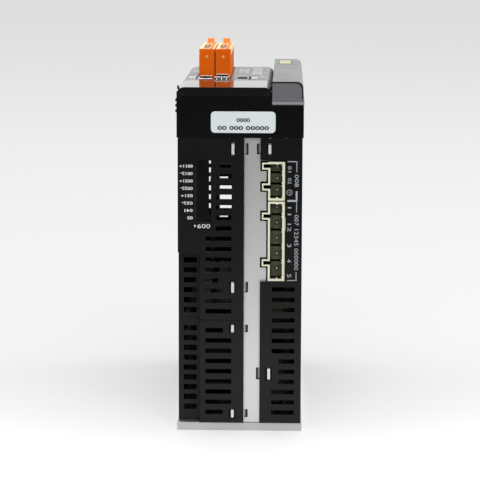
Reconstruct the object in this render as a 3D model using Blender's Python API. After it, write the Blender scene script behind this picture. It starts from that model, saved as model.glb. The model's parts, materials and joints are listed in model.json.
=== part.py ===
"""Book-style servo drive, standing on its back plate with its front panel up.

Frame: origin at the middle of the back plate's outer face, +Z out of the drive's front,
-Y towards its upper end (mains connectors), +Y towards its lower end (motor connectors),
+X to the right of someone who faces the upper end. Sizes below are in millimetres.
"""
import math

import bmesh
import bpy

MM = 0.001

# ---------------------------------------------------------------- overall sizes and walls
BODY_W = 60.0           # across the two side shells
BODY_L = 168.0          # from the upper end to the lower end
SEAM_Z = 144.4          # where the side shells meet the front bezel
PANEL_RISE = 24.2       # from that seam to the face of the front panel
STRIP_RISE = 2.7        # from the panel's face to the top of the raised side cover
DECK_DROP = 8.6         # from the panel's face down to the bezel's deck
BOARD_RISE = 4.6        # from the seam to the front circuit board
GAP = 0.3               # play between pieces that touch
EASE = 0.02             # keeps joined forms from sharing a face

SHELL_T = 1.6           # wall of the plastic shells
DECK_T = 1.8            # wall of the bezel and the front panel
SHEET_T = 1.2           # folded sheet metal
BOARD_T = 1.6           # circuit boards
BACK_T = 4.0            # back plate of the heat sink
BEZEL_PROUD = 0.5       # how far the bezel stands out past the shells at each side
BEZEL_END_PROUD = 0.3   # and at each end

# ---------------------------------------------------------------- shells
STRIP_METAL_W = 7.8     # sheet metal that shows between the two shells
RIGHT_SHELL_W = 20.2    # upper-end wall of the right shell
SPLIT_Z = 55.4          # joint between the two left shells
SLOT_H = 2.25           # ventilation slots of the upper end
SLOT_PITCH = 5.09
SLOT_TOP = 12.3         # from the seam down to the first slot
SLOT_FOOT = 8.5         # lowest slot's lower edge
SLOT_MARGIN = 6.0       # from a slot row to the left shells' inner edge
SLOT_INSET = 13.4       # from the left side face to a long slot row
SLOT_SHORTER = 4.0      # by which slots stop short beside a latch window
RIGHT_SLOT_IN = 5.85    # from the right shell's inner edge to its slots
RIGHT_SLOT_SHORTER = 3.35
RIGHT_SLOT_OUT = 3.3    # from the right side face to its slots
RIGHT_SLOT_TOP = 2.5    # from the power connectors down to the first slot
WINDOW_MARGIN = 2.1     # height beside a latch window where slots are shorter
FAR_SLOT_H = 2.85       # ventilation slots of the lower end
FAR_SLOT_PITCH = 5.05
FAR_SLOT_TOP = 29.1     # from the seam down to the first of them
FAR_SLOT_ROWS = ((4.5, 3.1, 3), (4.5, 0.0, 3), (12.0, 3.1, 2))  # left inset, right inset, count
FAR_SLOT_RIGHT = 9.5    # from the left shells' inner edge to the longest of them
SIDE_BRIDGE = 4.0       # between the columns of slots in the side faces
SIDE_MARGIN = 22.0      # from an end to those slots
SIDE_FAN_MARGIN = 34.0  # and from the lower end, beside the fan

WINDOW_W = 3.2          # latch windows
WINDOW_LEFT_IN = 7.2    # from the left shells' inner edge to a window's far side
WINDOW_RIGHT_IN = 2.8   # from the right shell's inner edge to a window
TAB_W = 1.4             # latch tab of the sheet metal, seen in the window
TAB_LEFT_IN = 1.1       # from a window's left side to its tab
TAB_RIGHT_IN = 1.0
TAB_RISE = 1.1
NOTCH_W = 1.75          # notch in the metal's edge beside each window
SLIT_W = 1.3            # slits each side of a tab

RECESS_W = 10.8         # stepped-back corner of the left shells
RECESS_DEPTH = 7.5
RECESS_TOP = 88.6
VENT_W = 6.4            # its slots
VENT_H = 2.75
VENT_INSET = 2.5
VENT_PITCH = 4.93
VENT_DROP = 3.3         # from the top of the corner down to the first of them
VENT_FOOT = 9.2         # lower edge of the lowest
VENT_SPLIT_DROP = 3.5   # from the split down to the next slot
VENT_SPLIT_RISE = 2.1   # and up to the one above

BLANK_W = 7.9           # break-out blank for the option connector
BLANK_H = 29.4
BLANK_INSET = 8.1
BLANK_TOP = 11.1        # below the seam
BLANK_PLAY = 0.9        # slit round the blank
BLANK_MARGIN = 3.0      # height beyond the blank where slots start further right
BLANK_SLOT_GAP = 2.4

# ---------------------------------------------------------------- power connectors
HEADER_W = 8.1          # housings
HEADER_DEPTH = 15.0
HEADER_FLOOR = 4.0
HEADER_WALL = 1.0
HEADER_RIGHT = 8.35     # from the side face to the housing
HEADER_GAP = 0.6
HEADER_SUNK = 0.5       # housing's face behind the shell's face
HEADER_ARM = 2.9        # key channels on the housing's left side
HEADER_ARM_H = 3.3
HEADER_TOP = 11.6       # from the seam down to the first housing
HEADER_PLAY = 0.8       # opening round the housings, above and below
ARM_PLAY = 0.9          # clearance in the sheet metal round the key channels
BLADE = 1.6             # square contact blades
BLADE_SUNK = 3.0
DC_LENGTH = 18.7
DC_ARMS = (0.4, 10.5)   # from the housing's top edge to each key channel
DC_PINS = (2.9, 8.2, 13.8)
MAINS_LENGTH = 38.75
MAINS_ARMS = (5.4, 28.2)
MAINS_PINS = (3.0, 10.4, 18.0, 25.6, 32.9)
SOCKET_SHIELD = 0.8     # wall of the shielded sockets and jacks
SOCKET_DEPTH = 14.0
SOCKET_MOUTH = 9.5

# ---------------------------------------------------------------- heat sink, fan, earth screws
WEB_X = 6.8             # from the right shell's inner edge back to the heat sink's web
WEB_T = 3.0
WEB_TOP = 62.0
FIN_T = 1.6
FIN_PITCH = 8.0
FIN_SIDE_GAP = 3.0
PLATE_PROUD = 0.6       # how far the back plate stands out past the shells at each side
PLATE_HOLE_R = 2.1
PLATE_HOLE_X = 8.0      # from the plate's sides
PLATE_HOLE_Y = 12.0     # and from its ends
FAN_SIZE = 40.0
FAN_DEPTH = 15.0
FAN_WALL = 1.5          # frame beside the bore
FAN_LIFT = 1.5          # frame above the back plate
FAN_SHELL_W = 2.5       # how far the left rear shell runs past the right shell's edge there
FAN_HUB_R = 9.0
FAN_BLADES = 7
FAN_TIP_PLAY = 0.9
FAN_WEB = 2.5
SCREW_Z = (8.6, 18.6)   # earth screws, above the joint between the left shells
SCREW_HEAD_R = 3.0
WASHER_R = 3.6
SHANK_R = 1.5

# ---------------------------------------------------------------- front
PANEL_W = 45.6          # width of the front panel, from the bezel's left face
PANEL_FAR = 25.7        # the lower step at the motor end
FLIP_L = 44.4           # length of the flip cover
PANEL_SKIRT = 4.2
CORNER_R = 3.5
CUTOUT_X = 6.9          # panel cut-out for the jacks and plugs, from the bezel's left face
CUTOUT_PLAY = 0.675
CUTOUT_END_PLAY = 1.6
PLUG_W = 7.75
PLUG_GAP = 0.7          # between the two plugs
PLUG_L = 58.8
PLUG_Y = 32.6           # from the panel's upper edge to the plugs
PLUG_RISE = 13.6        # above the panel's face
PLUG_SEAT = 3.7         # plug's lower face below the deck
PLUG_ENTRIES = 12
ENTRY_MARGIN = 2.5
TONGUE = 1.5            # half width of the header's tongue inside a plug
LEVER_T = 3.4
LEVER_W = 3.6
LEVER_RISE = 2.3        # above the plug
LEVER_PIVOT_DROP = 3.3  # below the panel's face
LEVER_PIN_R = 0.7
JACK_L = 20.0
JACK_W = 7.4
JACK_GAP = 4.0          # between jacks and plugs
JACK_RISES = (0.3, 1.1)
JACK_MOUTH = 12.0
PORT_X = (18.4, 12.4)   # service port, from the panel's right edge
PORT_Y = (10.6, 23.2)   # and from its upper edge
PORT_WALL = 0.6
SLIT_X = 11.6           # long slit beside it
SLIT_Y = (6.9, 26.9)

HINGE_IN = 0.9          # flip cover's pins, from the bezel's upper end
HINGE_UP = 1.0          # and above the cover's lower edge
HINGE_R = 0.75
HINGE_PLAY = 0.2
EAR_W = 0.6
EAR_L = 2.3
GRIP_RIDGES = 3
KEY_Y = 33.0            # from the bezel's upper end
KEY_R = 2.8
KEY_RISE = 3.2
KEY_CLEARANCE = 1.6     # under each key, for its travel
KEY_X = 7.5
KEY_PITCH = 6.6
KEY_COUNT = 5
DIAL_X = 6.5            # from the panel's right edge
DIAL_Y = (12.0, 24.0)
DIAL_R = 4.4
DIAL_H = 2.7
STEM_R = 1.5
RUNNING = 0.4           # radial play round keys and dial stems
DISPLAY_SIZE = (28.0, 15.0, 4.0)
DISPLAY_PLACE = (6.0, 9.0)
LAMP_PLACE = (10.0, 12.5)
LAMP_R = 2.5
LAMP_RISE = 1.2
CAP_T = 1.1             # side cover's end cap
CAP_INSET = 0.8
GASKET_T = 0.5
FLANGE_H = 1.9
SIDE_CORNER_R = 3.0
STATUS_X = (12.4, 6.1)  # status window, from the bezel's right face
STATUS_Y = (-15.0, 10.8)
LABEL_W = 31.0
LABEL_H = 10.3
LABEL_X = 1.5
LABEL_LIFT = 2.4
LABEL_CORNER = 1.9
LABEL_PROUD = 0.15

# ---------------------------------------------------------------- inside
BOARD_END = 4.5         # from the shells' ends to the boards
CONTROL_BOARD_IN = 0.1  # from the blank's right edge to the control board
CONTROL_BOARD_L = 82.5
CONTROL_BOARD_Z = 66.0
POWER_BOARD_Z = 8.0
POST_R = 2.4
POST_INSET = (5.0, 9.0)
CAPACITOR_R = 11.0
CAPACITOR_H = 23.0
CAPACITOR_Y = 42.0      # from the upper end to the first
CAPACITOR_PITCH = 26.0
CAPACITOR_DROP = 28.4   # below the seam
MODULE_T = 7.2          # power semiconductor module on the heat sink's web
MODULE_L = 64.0
MODULE_Z = (12.0, 54.0)
CHOKE_R = 11.0
CHOKE_BORE = 4.5
CHOKE_H = 12.5
CHOKE_PLACE = (20.0, 57.0)          # from the upper end, and height
RELAY_SIZE = (12.0, 20.0, 15.0)
RELAY_PLACE = (34.0, 62.0)
TRANSFORMER_SIZE = (18.0, 22.0, 20.0)
TRANSFORMER_PLACE = (22.0, 88.0)    # from the lower end, and height
FILM_SIZE = (8.0, 12.0, 20.0)
FILM_PLACE = (6.0, 14.0)

# ---------------------------------------------------------------- derived places
PANEL_Z = SEAM_Z + PANEL_RISE
STRIP_Z = PANEL_Z + STRIP_RISE
DECK_Z = PANEL_Z - DECK_DROP
BOARD_Z = SEAM_Z + BOARD_RISE
SKIRT_Z = PANEL_Z - PANEL_SKIRT
LEFT = -BODY_W / 2
RIGHT = BODY_W / 2
NEAR = -BODY_L / 2
FAR = BODY_L / 2
SHELL_BOTTOM = BACK_T + GAP
SHELL_TOP = SEAM_Z - GAP
RIGHT_EDGE = RIGHT - RIGHT_SHELL_W
LEFT_EDGE = RIGHT_EDGE - STRIP_METAL_W
METAL_NEAR = NEAR + SHELL_T + GAP
METAL_FAR = FAR - SHELL_T - GAP
BEZEL_LEFT = LEFT - BEZEL_PROUD
BEZEL_RIGHT = RIGHT + BEZEL_PROUD
BEZEL_NEAR = NEAR - BEZEL_END_PROUD
BEZEL_FAR = FAR + BEZEL_END_PROUD
PANEL_X1 = BEZEL_LEFT + PANEL_W
PANEL_Y0 = BEZEL_NEAR + FLIP_L
PANEL_Y1 = BEZEL_FAR - PANEL_FAR
RECESS_X = LEFT + RECESS_W
RECESS_Y = NEAR + RECESS_DEPTH
LONG_SLOT_X0 = LEFT + SLOT_INSET
LONG_SLOT_X1 = LEFT_EDGE - SLOT_MARGIN
WINDOW_LEFT_X = LEFT_EDGE - WINDOW_LEFT_IN
WINDOW_RIGHT_X = RIGHT_EDGE + WINDOW_RIGHT_IN
LEFT_WINDOWS_FRONT = ((SEAM_Z - 8.8, SEAM_Z - 2.3), (SPLIT_Z + 12.9, SPLIT_Z + 19.1))
LEFT_WINDOWS_REAR = ((SPLIT_Z - 6.7, SPLIT_Z - 2.0), (SHELL_BOTTOM + 1.9, SHELL_BOTTOM + 6.9))
RIGHT_WINDOWS = ((SEAM_Z - 8.4, SEAM_Z - 2.65), (SHELL_BOTTOM + 21.1, SHELL_BOTTOM + 27.6))
BLANK_X0 = LEFT + BLANK_INSET
BLANK_X1 = BLANK_X0 + BLANK_W
BLANK_Z1 = SEAM_Z - BLANK_TOP
BLANK_Z0 = BLANK_Z1 - BLANK_H
HEADER_X1 = RIGHT - HEADER_RIGHT
HEADER_X0 = HEADER_X1 - HEADER_W
DC_TOP = SEAM_Z - HEADER_TOP
MAINS_TOP = DC_TOP - DC_LENGTH - HEADER_GAP
CONNECTOR_Z1 = DC_TOP + HEADER_PLAY
CONNECTOR_Z0 = MAINS_TOP - MAINS_LENGTH - GAP
POWER_BOARD_X = HEADER_X1 + 1.0
POWER_BOARD_FACE = POWER_BOARD_X - GAP
CONTROL_BOARD_X = BLANK_X1 - CONTROL_BOARD_IN
WEB_X0 = RIGHT_EDGE - WEB_X
WEB_X1 = WEB_X0 + WEB_T
FAN_BORE_R = FAN_SIZE / 2 - FAN_WALL
FAN_EDGE = RIGHT_EDGE + FAN_SHELL_W
FAN_X = LEFT + SHELL_T + GAP + FAN_SIZE / 2
FAN_Z = SHELL_BOTTOM + FAN_LIFT + FAN_SIZE / 2
FAN_Y1 = METAL_FAR
FAN_Y0 = FAN_Y1 - FAN_DEPTH
SCREW_X = LEFT_EDGE + STRIP_METAL_W / 2
PLUG_PITCH = PLUG_W + PLUG_GAP
CUT_X0 = BEZEL_LEFT + CUTOUT_X
CUT_X1 = CUT_X0 + PLUG_PITCH + PLUG_W + 2 * CUTOUT_PLAY
PLUG_XS = (CUT_X0 + CUTOUT_PLAY + PLUG_W / 2, CUT_X0 + CUTOUT_PLAY + PLUG_W / 2 + PLUG_PITCH)
PLUG_NEAR = PANEL_Y0 + PLUG_Y
PLUG_FAR = PLUG_NEAR + PLUG_L
PLUG_TOP = PANEL_Z + PLUG_RISE
PLUG_BOTTOM = DECK_Z - PLUG_SEAT
LEVER_Y = PLUG_FAR + GAP + LEVER_T / 2
LEVER_PIVOT_Z = PANEL_Z - LEVER_PIVOT_DROP
JACK_Y1 = PLUG_NEAR - JACK_GAP
JACK_Y0 = JACK_Y1 - JACK_L
CUT_Y0 = JACK_Y0 - DECK_T
CUT_Y1 = PLUG_FAR + GAP + LEVER_T + CUTOUT_END_PLAY
PORT_X0, PORT_X1 = PANEL_X1 - PORT_X[0], PANEL_X1 - PORT_X[1]
PORT_Y0, PORT_Y1 = PANEL_Y0 + PORT_Y[0], PANEL_Y0 + PORT_Y[1]
HINGE_Y = BEZEL_NEAR + HINGE_IN
HINGE_Z = SKIRT_Z + HINGE_UP
BOARD_SEAT = BOARD_Z + BOARD_T + GAP
SIDE_X0 = PANEL_X1 + GAP
SIDE_X1 = BEZEL_RIGHT - GAP
SIDE_NEAR = BEZEL_NEAR + CAP_T + GASKET_T + 2 * GAP

# ---------------------------------------------------------------- materials
FINISHES = {
    "black_plastic": ((0.020, 0.020, 0.022), 0.52, 0.0),
    "gloss_black": ((0.008, 0.008, 0.010), 0.10, 0.0),
    "grey_plastic": ((0.120, 0.122, 0.128), 0.45, 0.0),
    "overlay_grey": ((0.030, 0.031, 0.033), 0.35, 0.0),
    "orange_plastic": ((0.640, 0.120, 0.006), 0.38, 0.0),
    "cream_plastic": ((0.640, 0.640, 0.480), 0.45, 0.0),
    "sheet_steel": ((0.450, 0.450, 0.440), 0.42, 1.0),
    "aluminium": ((0.560, 0.560, 0.550), 0.40, 1.0),
    "bright_steel": ((0.640, 0.640, 0.630), 0.22, 1.0),
    "circuit_board": ((0.015, 0.090, 0.035), 0.45, 0.0),
    "component_black": ((0.015, 0.015, 0.015), 0.50, 0.0),
    "component_brown": ((0.120, 0.085, 0.030), 0.50, 0.0),
    "white_label": ((0.640, 0.660, 0.680), 0.40, 0.0),
    "white_plastic": ((0.700, 0.700, 0.690), 0.40, 0.0),
    "warm_lens": ((0.720, 0.680, 0.430), 0.25, 0.0),
    "red_lens": ((0.500, 0.020, 0.015), 0.20, 0.0),
}


def finish(name):
    """The named Principled material, made once."""
    if name in bpy.data.materials:
        return bpy.data.materials[name]
    colour, roughness, metallic = FINISHES[name]
    material = bpy.data.materials.new(name)
    material.use_nodes = True
    shader = material.node_tree.nodes["Principled BSDF"]
    shader.inputs["Base Color"].default_value = (*colour, 1.0)
    shader.inputs["Roughness"].default_value = roughness
    shader.inputs["Metallic"].default_value = metallic
    return material


# ---------------------------------------------------------------- mesh helpers
AXES = {"X": (1, 2, 0), "Y": (2, 0, 1), "Z": (0, 1, 2)}


def prism(outline, axis, low, high):
    """A flat outline drawn out along an axis. Its points are (Y, Z), (Z, X) or (X, Y)."""
    first, second, third = AXES[axis]
    points = []
    for level in (low, high):
        for a, b in outline:
            point = [0.0, 0.0, 0.0]
            point[first], point[second], point[third] = a, b, level
            points.append(point)
    count = len(outline)
    faces = [list(range(count))[::-1], [count + i for i in range(count)]]
    for i in range(count):
        j = (i + 1) % count
        faces.append([i, j, count + j, count + i])
    return points, faces


def block(x0, x1, y0, y1, z0, z1):
    """A box between two corners."""
    return prism([(x0, y0), (x1, y0), (x1, y1), (x0, y1)], "Z", z0, z1)


def slab_xz(outline, y0, y1):
    """An outline of (X, Z) points drawn out along Y."""
    return prism([(z, x) for x, z in outline], "Y", y0, y1)


def circle(cx, cy, radius, sides, turn=0.0):
    """Points round a circle."""
    step = 2 * math.pi / sides
    return [(cx + radius * math.cos(turn + i * step), cy + radius * math.sin(turn + i * step))
            for i in range(sides)]


def rod(axis, centre, radius, low, high, sides=24):
    """A round bar along an axis."""
    return prism(circle(centre[0], centre[1], radius, sides), axis, low, high)


def rounded(corners, steps=5):
    """An outline whose corners (x, y, radius) are rounded."""
    points = []
    count = len(corners)
    for i, (x, y, radius) in enumerate(corners):
        if radius == 0:
            points.append((x, y))
            continue
        before, after = corners[i - 1], corners[(i + 1) % count]
        to_before = math.atan2(before[1] - y, before[0] - x)
        to_after = math.atan2(after[1] - y, after[0] - x)
        turn = (to_after - to_before + math.pi) % (2 * math.pi) - math.pi
        reach = radius / math.tan(abs(turn) / 2)
        middle = to_before + turn / 2
        centre_distance = radius / math.sin(abs(turn) / 2)
        cx = x + centre_distance * math.cos(middle)
        cy = y + centre_distance * math.sin(middle)
        start = (x + reach * math.cos(to_before), y + reach * math.sin(to_before))
        end = (x + reach * math.cos(to_after), y + reach * math.sin(to_after))
        a0 = math.atan2(start[1] - cy, start[0] - cx)
        a1 = math.atan2(end[1] - cy, end[0] - cx)
        sweep = (a1 - a0 + math.pi) % (2 * math.pi) - math.pi
        for k in range(steps + 1):
            angle = a0 + sweep * k / steps
            points.append((cx + radius * math.cos(angle), cy + radius * math.sin(angle)))
    return points


def joined(shapes):
    """Several closed shapes as one list of points and faces."""
    points, faces = [], []
    for shape_points, shape_faces in shapes:
        offset = len(points)
        points += shape_points
        faces += [[offset + i for i in face] for face in shape_faces]
    return points, faces


def mesh_of(name, shape):
    """A mesh in metres, with its faces pointing out."""
    points, faces = shape
    mesh = bpy.data.meshes.new(name)
    mesh.from_pydata([[c * MM for c in point] for point in points], [], faces)
    bm = bmesh.new()
    bm.from_mesh(mesh)
    bmesh.ops.recalc_face_normals(bm, faces=bm.faces)
    bm.to_mesh(mesh)
    bm.free()
    return mesh


def helper(name, shape):
    """A shape that only cuts or extends another one."""
    tool = bpy.data.objects.new(name, mesh_of(name, shape))
    bpy.context.scene.collection.objects.link(tool)
    tool.hide_render = True
    tool.display_type = "WIRE"
    return tool


def boolean(target, operation, tool, overlapping):
    """Union with a shape, or the difference from it."""
    modifier = target.modifiers.new(tool.name, "BOOLEAN")
    modifier.operation = operation
    modifier.solver = "EXACT"
    modifier.use_self = overlapping
    modifier.object = tool


def solid(name, material, shape, add=(), cut=(), smooth=False):
    """One named piece: a shape, more shapes joined to it, then shapes cut out of it."""
    mesh = mesh_of(name, shape)
    if smooth:
        mesh.shade_smooth()
        mesh.set_sharp_from_angle(angle=math.radians(35))
    piece = bpy.data.objects.new(name, mesh)
    bpy.context.scene.collection.objects.link(piece)
    mesh.materials.append(finish(material))
    for i, extra in enumerate(add):
        boolean(piece, "UNION", helper(f"{name}-add{i}", extra), False)
    if cut:
        tool = helper(f"{name}-cut", joined(cut))
        boolean(piece, "DIFFERENCE", tool, len(cut) > 1)
    return piece


def moving(piece, place):
    """Puts a piece's origin on its joint, with the shape left where it is."""
    x, y, z = (c * MM for c in place)
    for vertex in piece.data.vertices:
        vertex.co.x -= x
        vertex.co.y -= y
        vertex.co.z -= z
    piece.location = (x, y, z)


# ---------------------------------------------------------------- side shells
NEAR_WALL = (NEAR - 1, NEAR + SHELL_T + 0.5)        # cutters through the upper end's walls
FAR_WALL = (FAR - SHELL_T - 0.5, FAR + 1)           # and the lower end's


def slot_rows(wall, low, high, span, bands=(), from_top=False):
    """Slots at even pitch between two levels. Bands (low, high, x0, x1) make some shorter."""
    count = int((high - low - SLOT_H) // SLOT_PITCH) + 1
    slots = []
    for i in range(count):
        top = high - i * SLOT_PITCH if from_top else low + SLOT_H + i * SLOT_PITCH
        x0, x1 = span
        for band_low, band_high, band_x0, band_x1 in bands:
            if top > band_low and top - SLOT_H < band_high:
                x0, x1 = max(x0, band_x0), min(x1, band_x1)
        slots.append(block(x0, x1, *wall, top - SLOT_H, top))
    return slots


def vents(low, high):
    """Slots in the stepped-back corner of the left shells."""
    x0 = LEFT + VENT_INSET
    wall = (RECESS_Y - 0.5, RECESS_Y + SHELL_T + 0.5)
    count = int((high - low - VENT_H) // VENT_PITCH) + 1
    return [block(x0, x0 + VENT_W, *wall, low + i * VENT_PITCH, low + i * VENT_PITCH + VENT_H)
            for i in range(count)]


def side_slots(x0, x1, y0, y1, low, high, columns):
    """Rows of slots through a side wall, in equal columns."""
    width = (y1 - y0 - SIDE_BRIDGE * (columns - 1)) / columns
    starts = [y0 + column * (width + SIDE_BRIDGE) for column in range(columns)]
    slots = []
    for start in starts:
        slots += slot_rows((start, start + width), low, high, (x0, x1))
    return slots


def u_shell(inner_near, inner_far, side):
    """Outline (X, Y) of a shell that wraps a side face and both ends."""
    outer = LEFT if side < 0 else RIGHT
    inner = outer - side * SHELL_T
    return [(outer, NEAR), (inner_near, NEAR), (inner_near, NEAR + SHELL_T), (inner, NEAR + SHELL_T),
            (inner, FAR - SHELL_T), (inner_far, FAR - SHELL_T), (inner_far, FAR), (outer, FAR)]


def window_cuts(windows, x0):
    """Latch windows through the upper end's wall."""
    return [block(x0, x0 + WINDOW_W, *NEAR_WALL, low, high) for low, high in windows]


def beside_windows(windows, x0, x1):
    """Bands in which slots keep between two places, clear of the latch windows."""
    return [(low - WINDOW_MARGIN, high + WINDOW_MARGIN, x0, x1) for low, high in windows]


def recess_wall(low, high):
    """The stepped-back corner, to be joined on before the corner is cut from it."""
    inset = 0.2
    return block(LEFT + inset, RECESS_X + SHELL_T, NEAR + inset, RECESS_Y + SHELL_T, low, high)


def lower_end_slots():
    """The left shell's slots in the lower end, in three groups."""
    slots = []
    row = 0
    for left_inset, right_inset, count in FAR_SLOT_ROWS:
        for _ in range(count):
            top = SEAM_Z - FAR_SLOT_TOP - row * FAR_SLOT_PITCH
            slots.append(block(LEFT + left_inset, LEFT_EDGE - FAR_SLOT_RIGHT - right_inset, *FAR_WALL,
                               top - FAR_SLOT_H, top))
            row += 1
    return slots


def fan_grille():
    """Slots that fill the fan's round mouth."""
    count = 7
    bridge = 1.6
    radius = FAN_BORE_R - 0.5
    pitch = 2 * radius / count
    half = (pitch - bridge) / 2
    slots = []
    for i in range(count):
        centre = -radius + (i + 0.5) * pitch
        reach = math.sqrt(radius ** 2 - (abs(centre) + half) ** 2)
        z = FAN_Z + centre
        slots.append(block(FAN_X - reach, FAN_X + reach, *FAR_WALL, z - half, z + half))
    return slots


def make_left_shells():
    """The two shells on the left side: front and rear halves."""
    span = (LONG_SLOT_X0, LONG_SLOT_X1)
    shorter = LONG_SLOT_X1 - SLOT_SHORTER
    side_wall = (LEFT - 1, LEFT + SHELL_T + 0.5)
    side_y0 = NEAR + SIDE_MARGIN
    low = SPLIT_Z + GAP / 2
    upper = SEAM_Z - SLOT_TOP
    bands = beside_windows(LEFT_WINDOWS_FRONT, LEFT, shorter)
    bands.append((BLANK_Z0 - BLANK_MARGIN, BLANK_Z1, BLANK_X1 + BLANK_SLOT_GAP, LONG_SLOT_X1))
    cuts = [block(LEFT - 1, RECESS_X, NEAR - 1, RECESS_Y, low - 1, RECESS_TOP),
            block(BLANK_X0, BLANK_X1, *NEAR_WALL, BLANK_Z0, BLANK_Z1)]
    cuts += slot_rows(NEAR_WALL, low + 2.0, upper, span, bands, from_top=True)
    cuts += vents(low + VENT_SPLIT_RISE, RECESS_TOP - VENT_DROP)
    cuts += window_cuts(LEFT_WINDOWS_FRONT, WINDOW_LEFT_X)
    cuts += lower_end_slots()
    cuts += side_slots(*side_wall, side_y0, FAR - SIDE_MARGIN, BLANK_Z0 - 1, upper, 4)
    solid("left_shell_front", "black_plastic",
          prism(u_shell(LEFT_EDGE, LEFT_EDGE, -1), "Z", low, SHELL_TOP),
          add=[recess_wall(low + EASE, RECESS_TOP + SHELL_T)], cut=cuts)

    high = SPLIT_Z - GAP / 2
    bands = beside_windows(LEFT_WINDOWS_REAR, LEFT, shorter)
    cuts = [block(LEFT - 1, RECESS_X, NEAR - 1, RECESS_Y, SHELL_BOTTOM - 1, high + 1)]
    cuts += slot_rows(NEAR_WALL, SLOT_FOOT, high - 2.5, span, bands)
    cuts += vents(VENT_FOOT, high - VENT_SPLIT_DROP)
    cuts += window_cuts(LEFT_WINDOWS_REAR, WINDOW_LEFT_X)
    cuts += fan_grille()
    cuts += side_slots(*side_wall, side_y0, FAR - SIDE_FAN_MARGIN, 2 * SLOT_FOOT, high - 5.0, 4)
    solid("left_shell_rear", "black_plastic",
          prism(u_shell(LEFT_EDGE, FAN_EDGE, -1), "Z", SHELL_BOTTOM, high),
          add=[recess_wall(SHELL_BOTTOM + EASE, high - EASE)], cut=cuts)


def make_right_shell():
    """The shell on the right side, open round the power connectors at both ends."""
    edge = HEADER_X1 + GAP
    span = (RIGHT_EDGE + RIGHT_SLOT_IN, RIGHT - RIGHT_SLOT_OUT)
    bands = beside_windows(RIGHT_WINDOWS, span[0] + RIGHT_SLOT_SHORTER, RIGHT)
    top = CONNECTOR_Z0 - RIGHT_SLOT_TOP
    side_wall = (RIGHT - SHELL_T - 0.5, RIGHT + 1)
    cuts = [block(RIGHT_EDGE - 1, edge, *wall, CONNECTOR_Z0, CONNECTOR_Z1)
            for wall in (NEAR_WALL, FAR_WALL)]
    cuts.append(block(RIGHT_EDGE - 1, FAN_EDGE + GAP, *FAR_WALL, SHELL_BOTTOM - 1, SPLIT_Z))
    cuts += slot_rows(NEAR_WALL, SLOT_FOOT, top, span, bands)
    cuts += window_cuts(RIGHT_WINDOWS, WINDOW_RIGHT_X)
    cuts += side_slots(*side_wall, NEAR + SIDE_MARGIN, FAR - SIDE_MARGIN, 3 * SLOT_FOOT, top, 3)
    solid("right_shell", "black_plastic",
          prism(u_shell(RIGHT_EDGE, RIGHT_EDGE, 1)[::-1], "Z", SHELL_BOTTOM, SHELL_TOP), cut=cuts)


# ---------------------------------------------------------------- metal frame
def make_heat_sink():
    """Back plate with a web and level fins, drawn as one extrusion."""
    fin_x0 = LEFT + SHELL_T + FIN_SIDE_GAP
    root = BACK_T - 0.5
    count = int((WEB_TOP - BACK_T - FIN_T) // FIN_PITCH)
    outline = [(WEB_X1, root), (WEB_X1, WEB_TOP)]
    for i in range(count):
        level = WEB_TOP - FIN_T - i * FIN_PITCH
        outline += [(fin_x0, level + FIN_T), (fin_x0, level), (WEB_X0, level)]
        if i < count - 1:
            outline.append((WEB_X0, level - FIN_PITCH + FIN_T))
    outline.append((WEB_X0, root))
    fins = slab_xz(outline, RECESS_Y + SHELL_T + 4.0, FAN_Y0 - 3.0)
    holes = [rod("Z", (sx * (BODY_W / 2 - PLATE_HOLE_X), sy * (BODY_L / 2 - PLATE_HOLE_Y)),
                 PLATE_HOLE_R, -1, BACK_T - 1, 12) for sx in (-1, 1) for sy in (-1, 1)]
    solid("heat_sink", "aluminium",
          block(LEFT - PLATE_PROUD, RIGHT + PLATE_PROUD, METAL_NEAR, METAL_FAR, 0, BACK_T),
          add=[fins], cut=holes)


HEADER_SPECS = {
    # name: (top edge, length, key channels, pins), the last two measured down from the top edge
    "dc_header": (DC_TOP, DC_LENGTH, DC_ARMS, DC_PINS),
    "mains_header": (MAINS_TOP, MAINS_LENGTH, MAINS_ARMS, MAINS_PINS),
}


def arm_spans(top, offsets):
    """Z ranges of a header's key channels."""
    return [(top - offset - HEADER_ARM_H, top - offset) for offset in offsets]


def arm_cuts(y0, y1):
    """Clearance in the sheet metal round the key channels."""
    x0 = HEADER_X0 - HEADER_ARM - ARM_PLAY
    cuts = []
    for top, _, arms, _ in HEADER_SPECS.values():
        cuts += [block(x0, HEADER_X0, y0, y1, low - ARM_PLAY, high + ARM_PLAY)
                 for low, high in arm_spans(top, arms)]
    return cuts


def latch_cuts(windows, tab_x, y0, y1):
    """Slits each side of a latch tab in the sheet metal, a little longer than the window."""
    inset = -0.3
    cuts = []
    for low, high in windows:
        for x0 in (tab_x - SLIT_W, tab_x + TAB_W):
            cuts.append(block(x0, x0 + SLIT_W, y0, y1, low + inset, high - inset))
    return cuts


def ears(windows, x0, x1, y0, y1):
    """Sheet metal that runs on behind the latch windows."""
    margin = 1.5
    return [block(x0, x1, y0 + EASE, y1 - EASE, max(low - margin, SHELL_BOTTOM + 0.1),
                  min(high + margin, SHELL_TOP - 0.1)) for low, high in windows]


def tabs(windows, x0, y0):
    """Latch tabs that stand up from the sheet metal into the windows."""
    inset = 0.6
    return [block(x0, x0 + TAB_W, y0 - TAB_RISE, y0 + 0.5, low + inset, high - inset)
            for low, high in windows]


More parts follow.
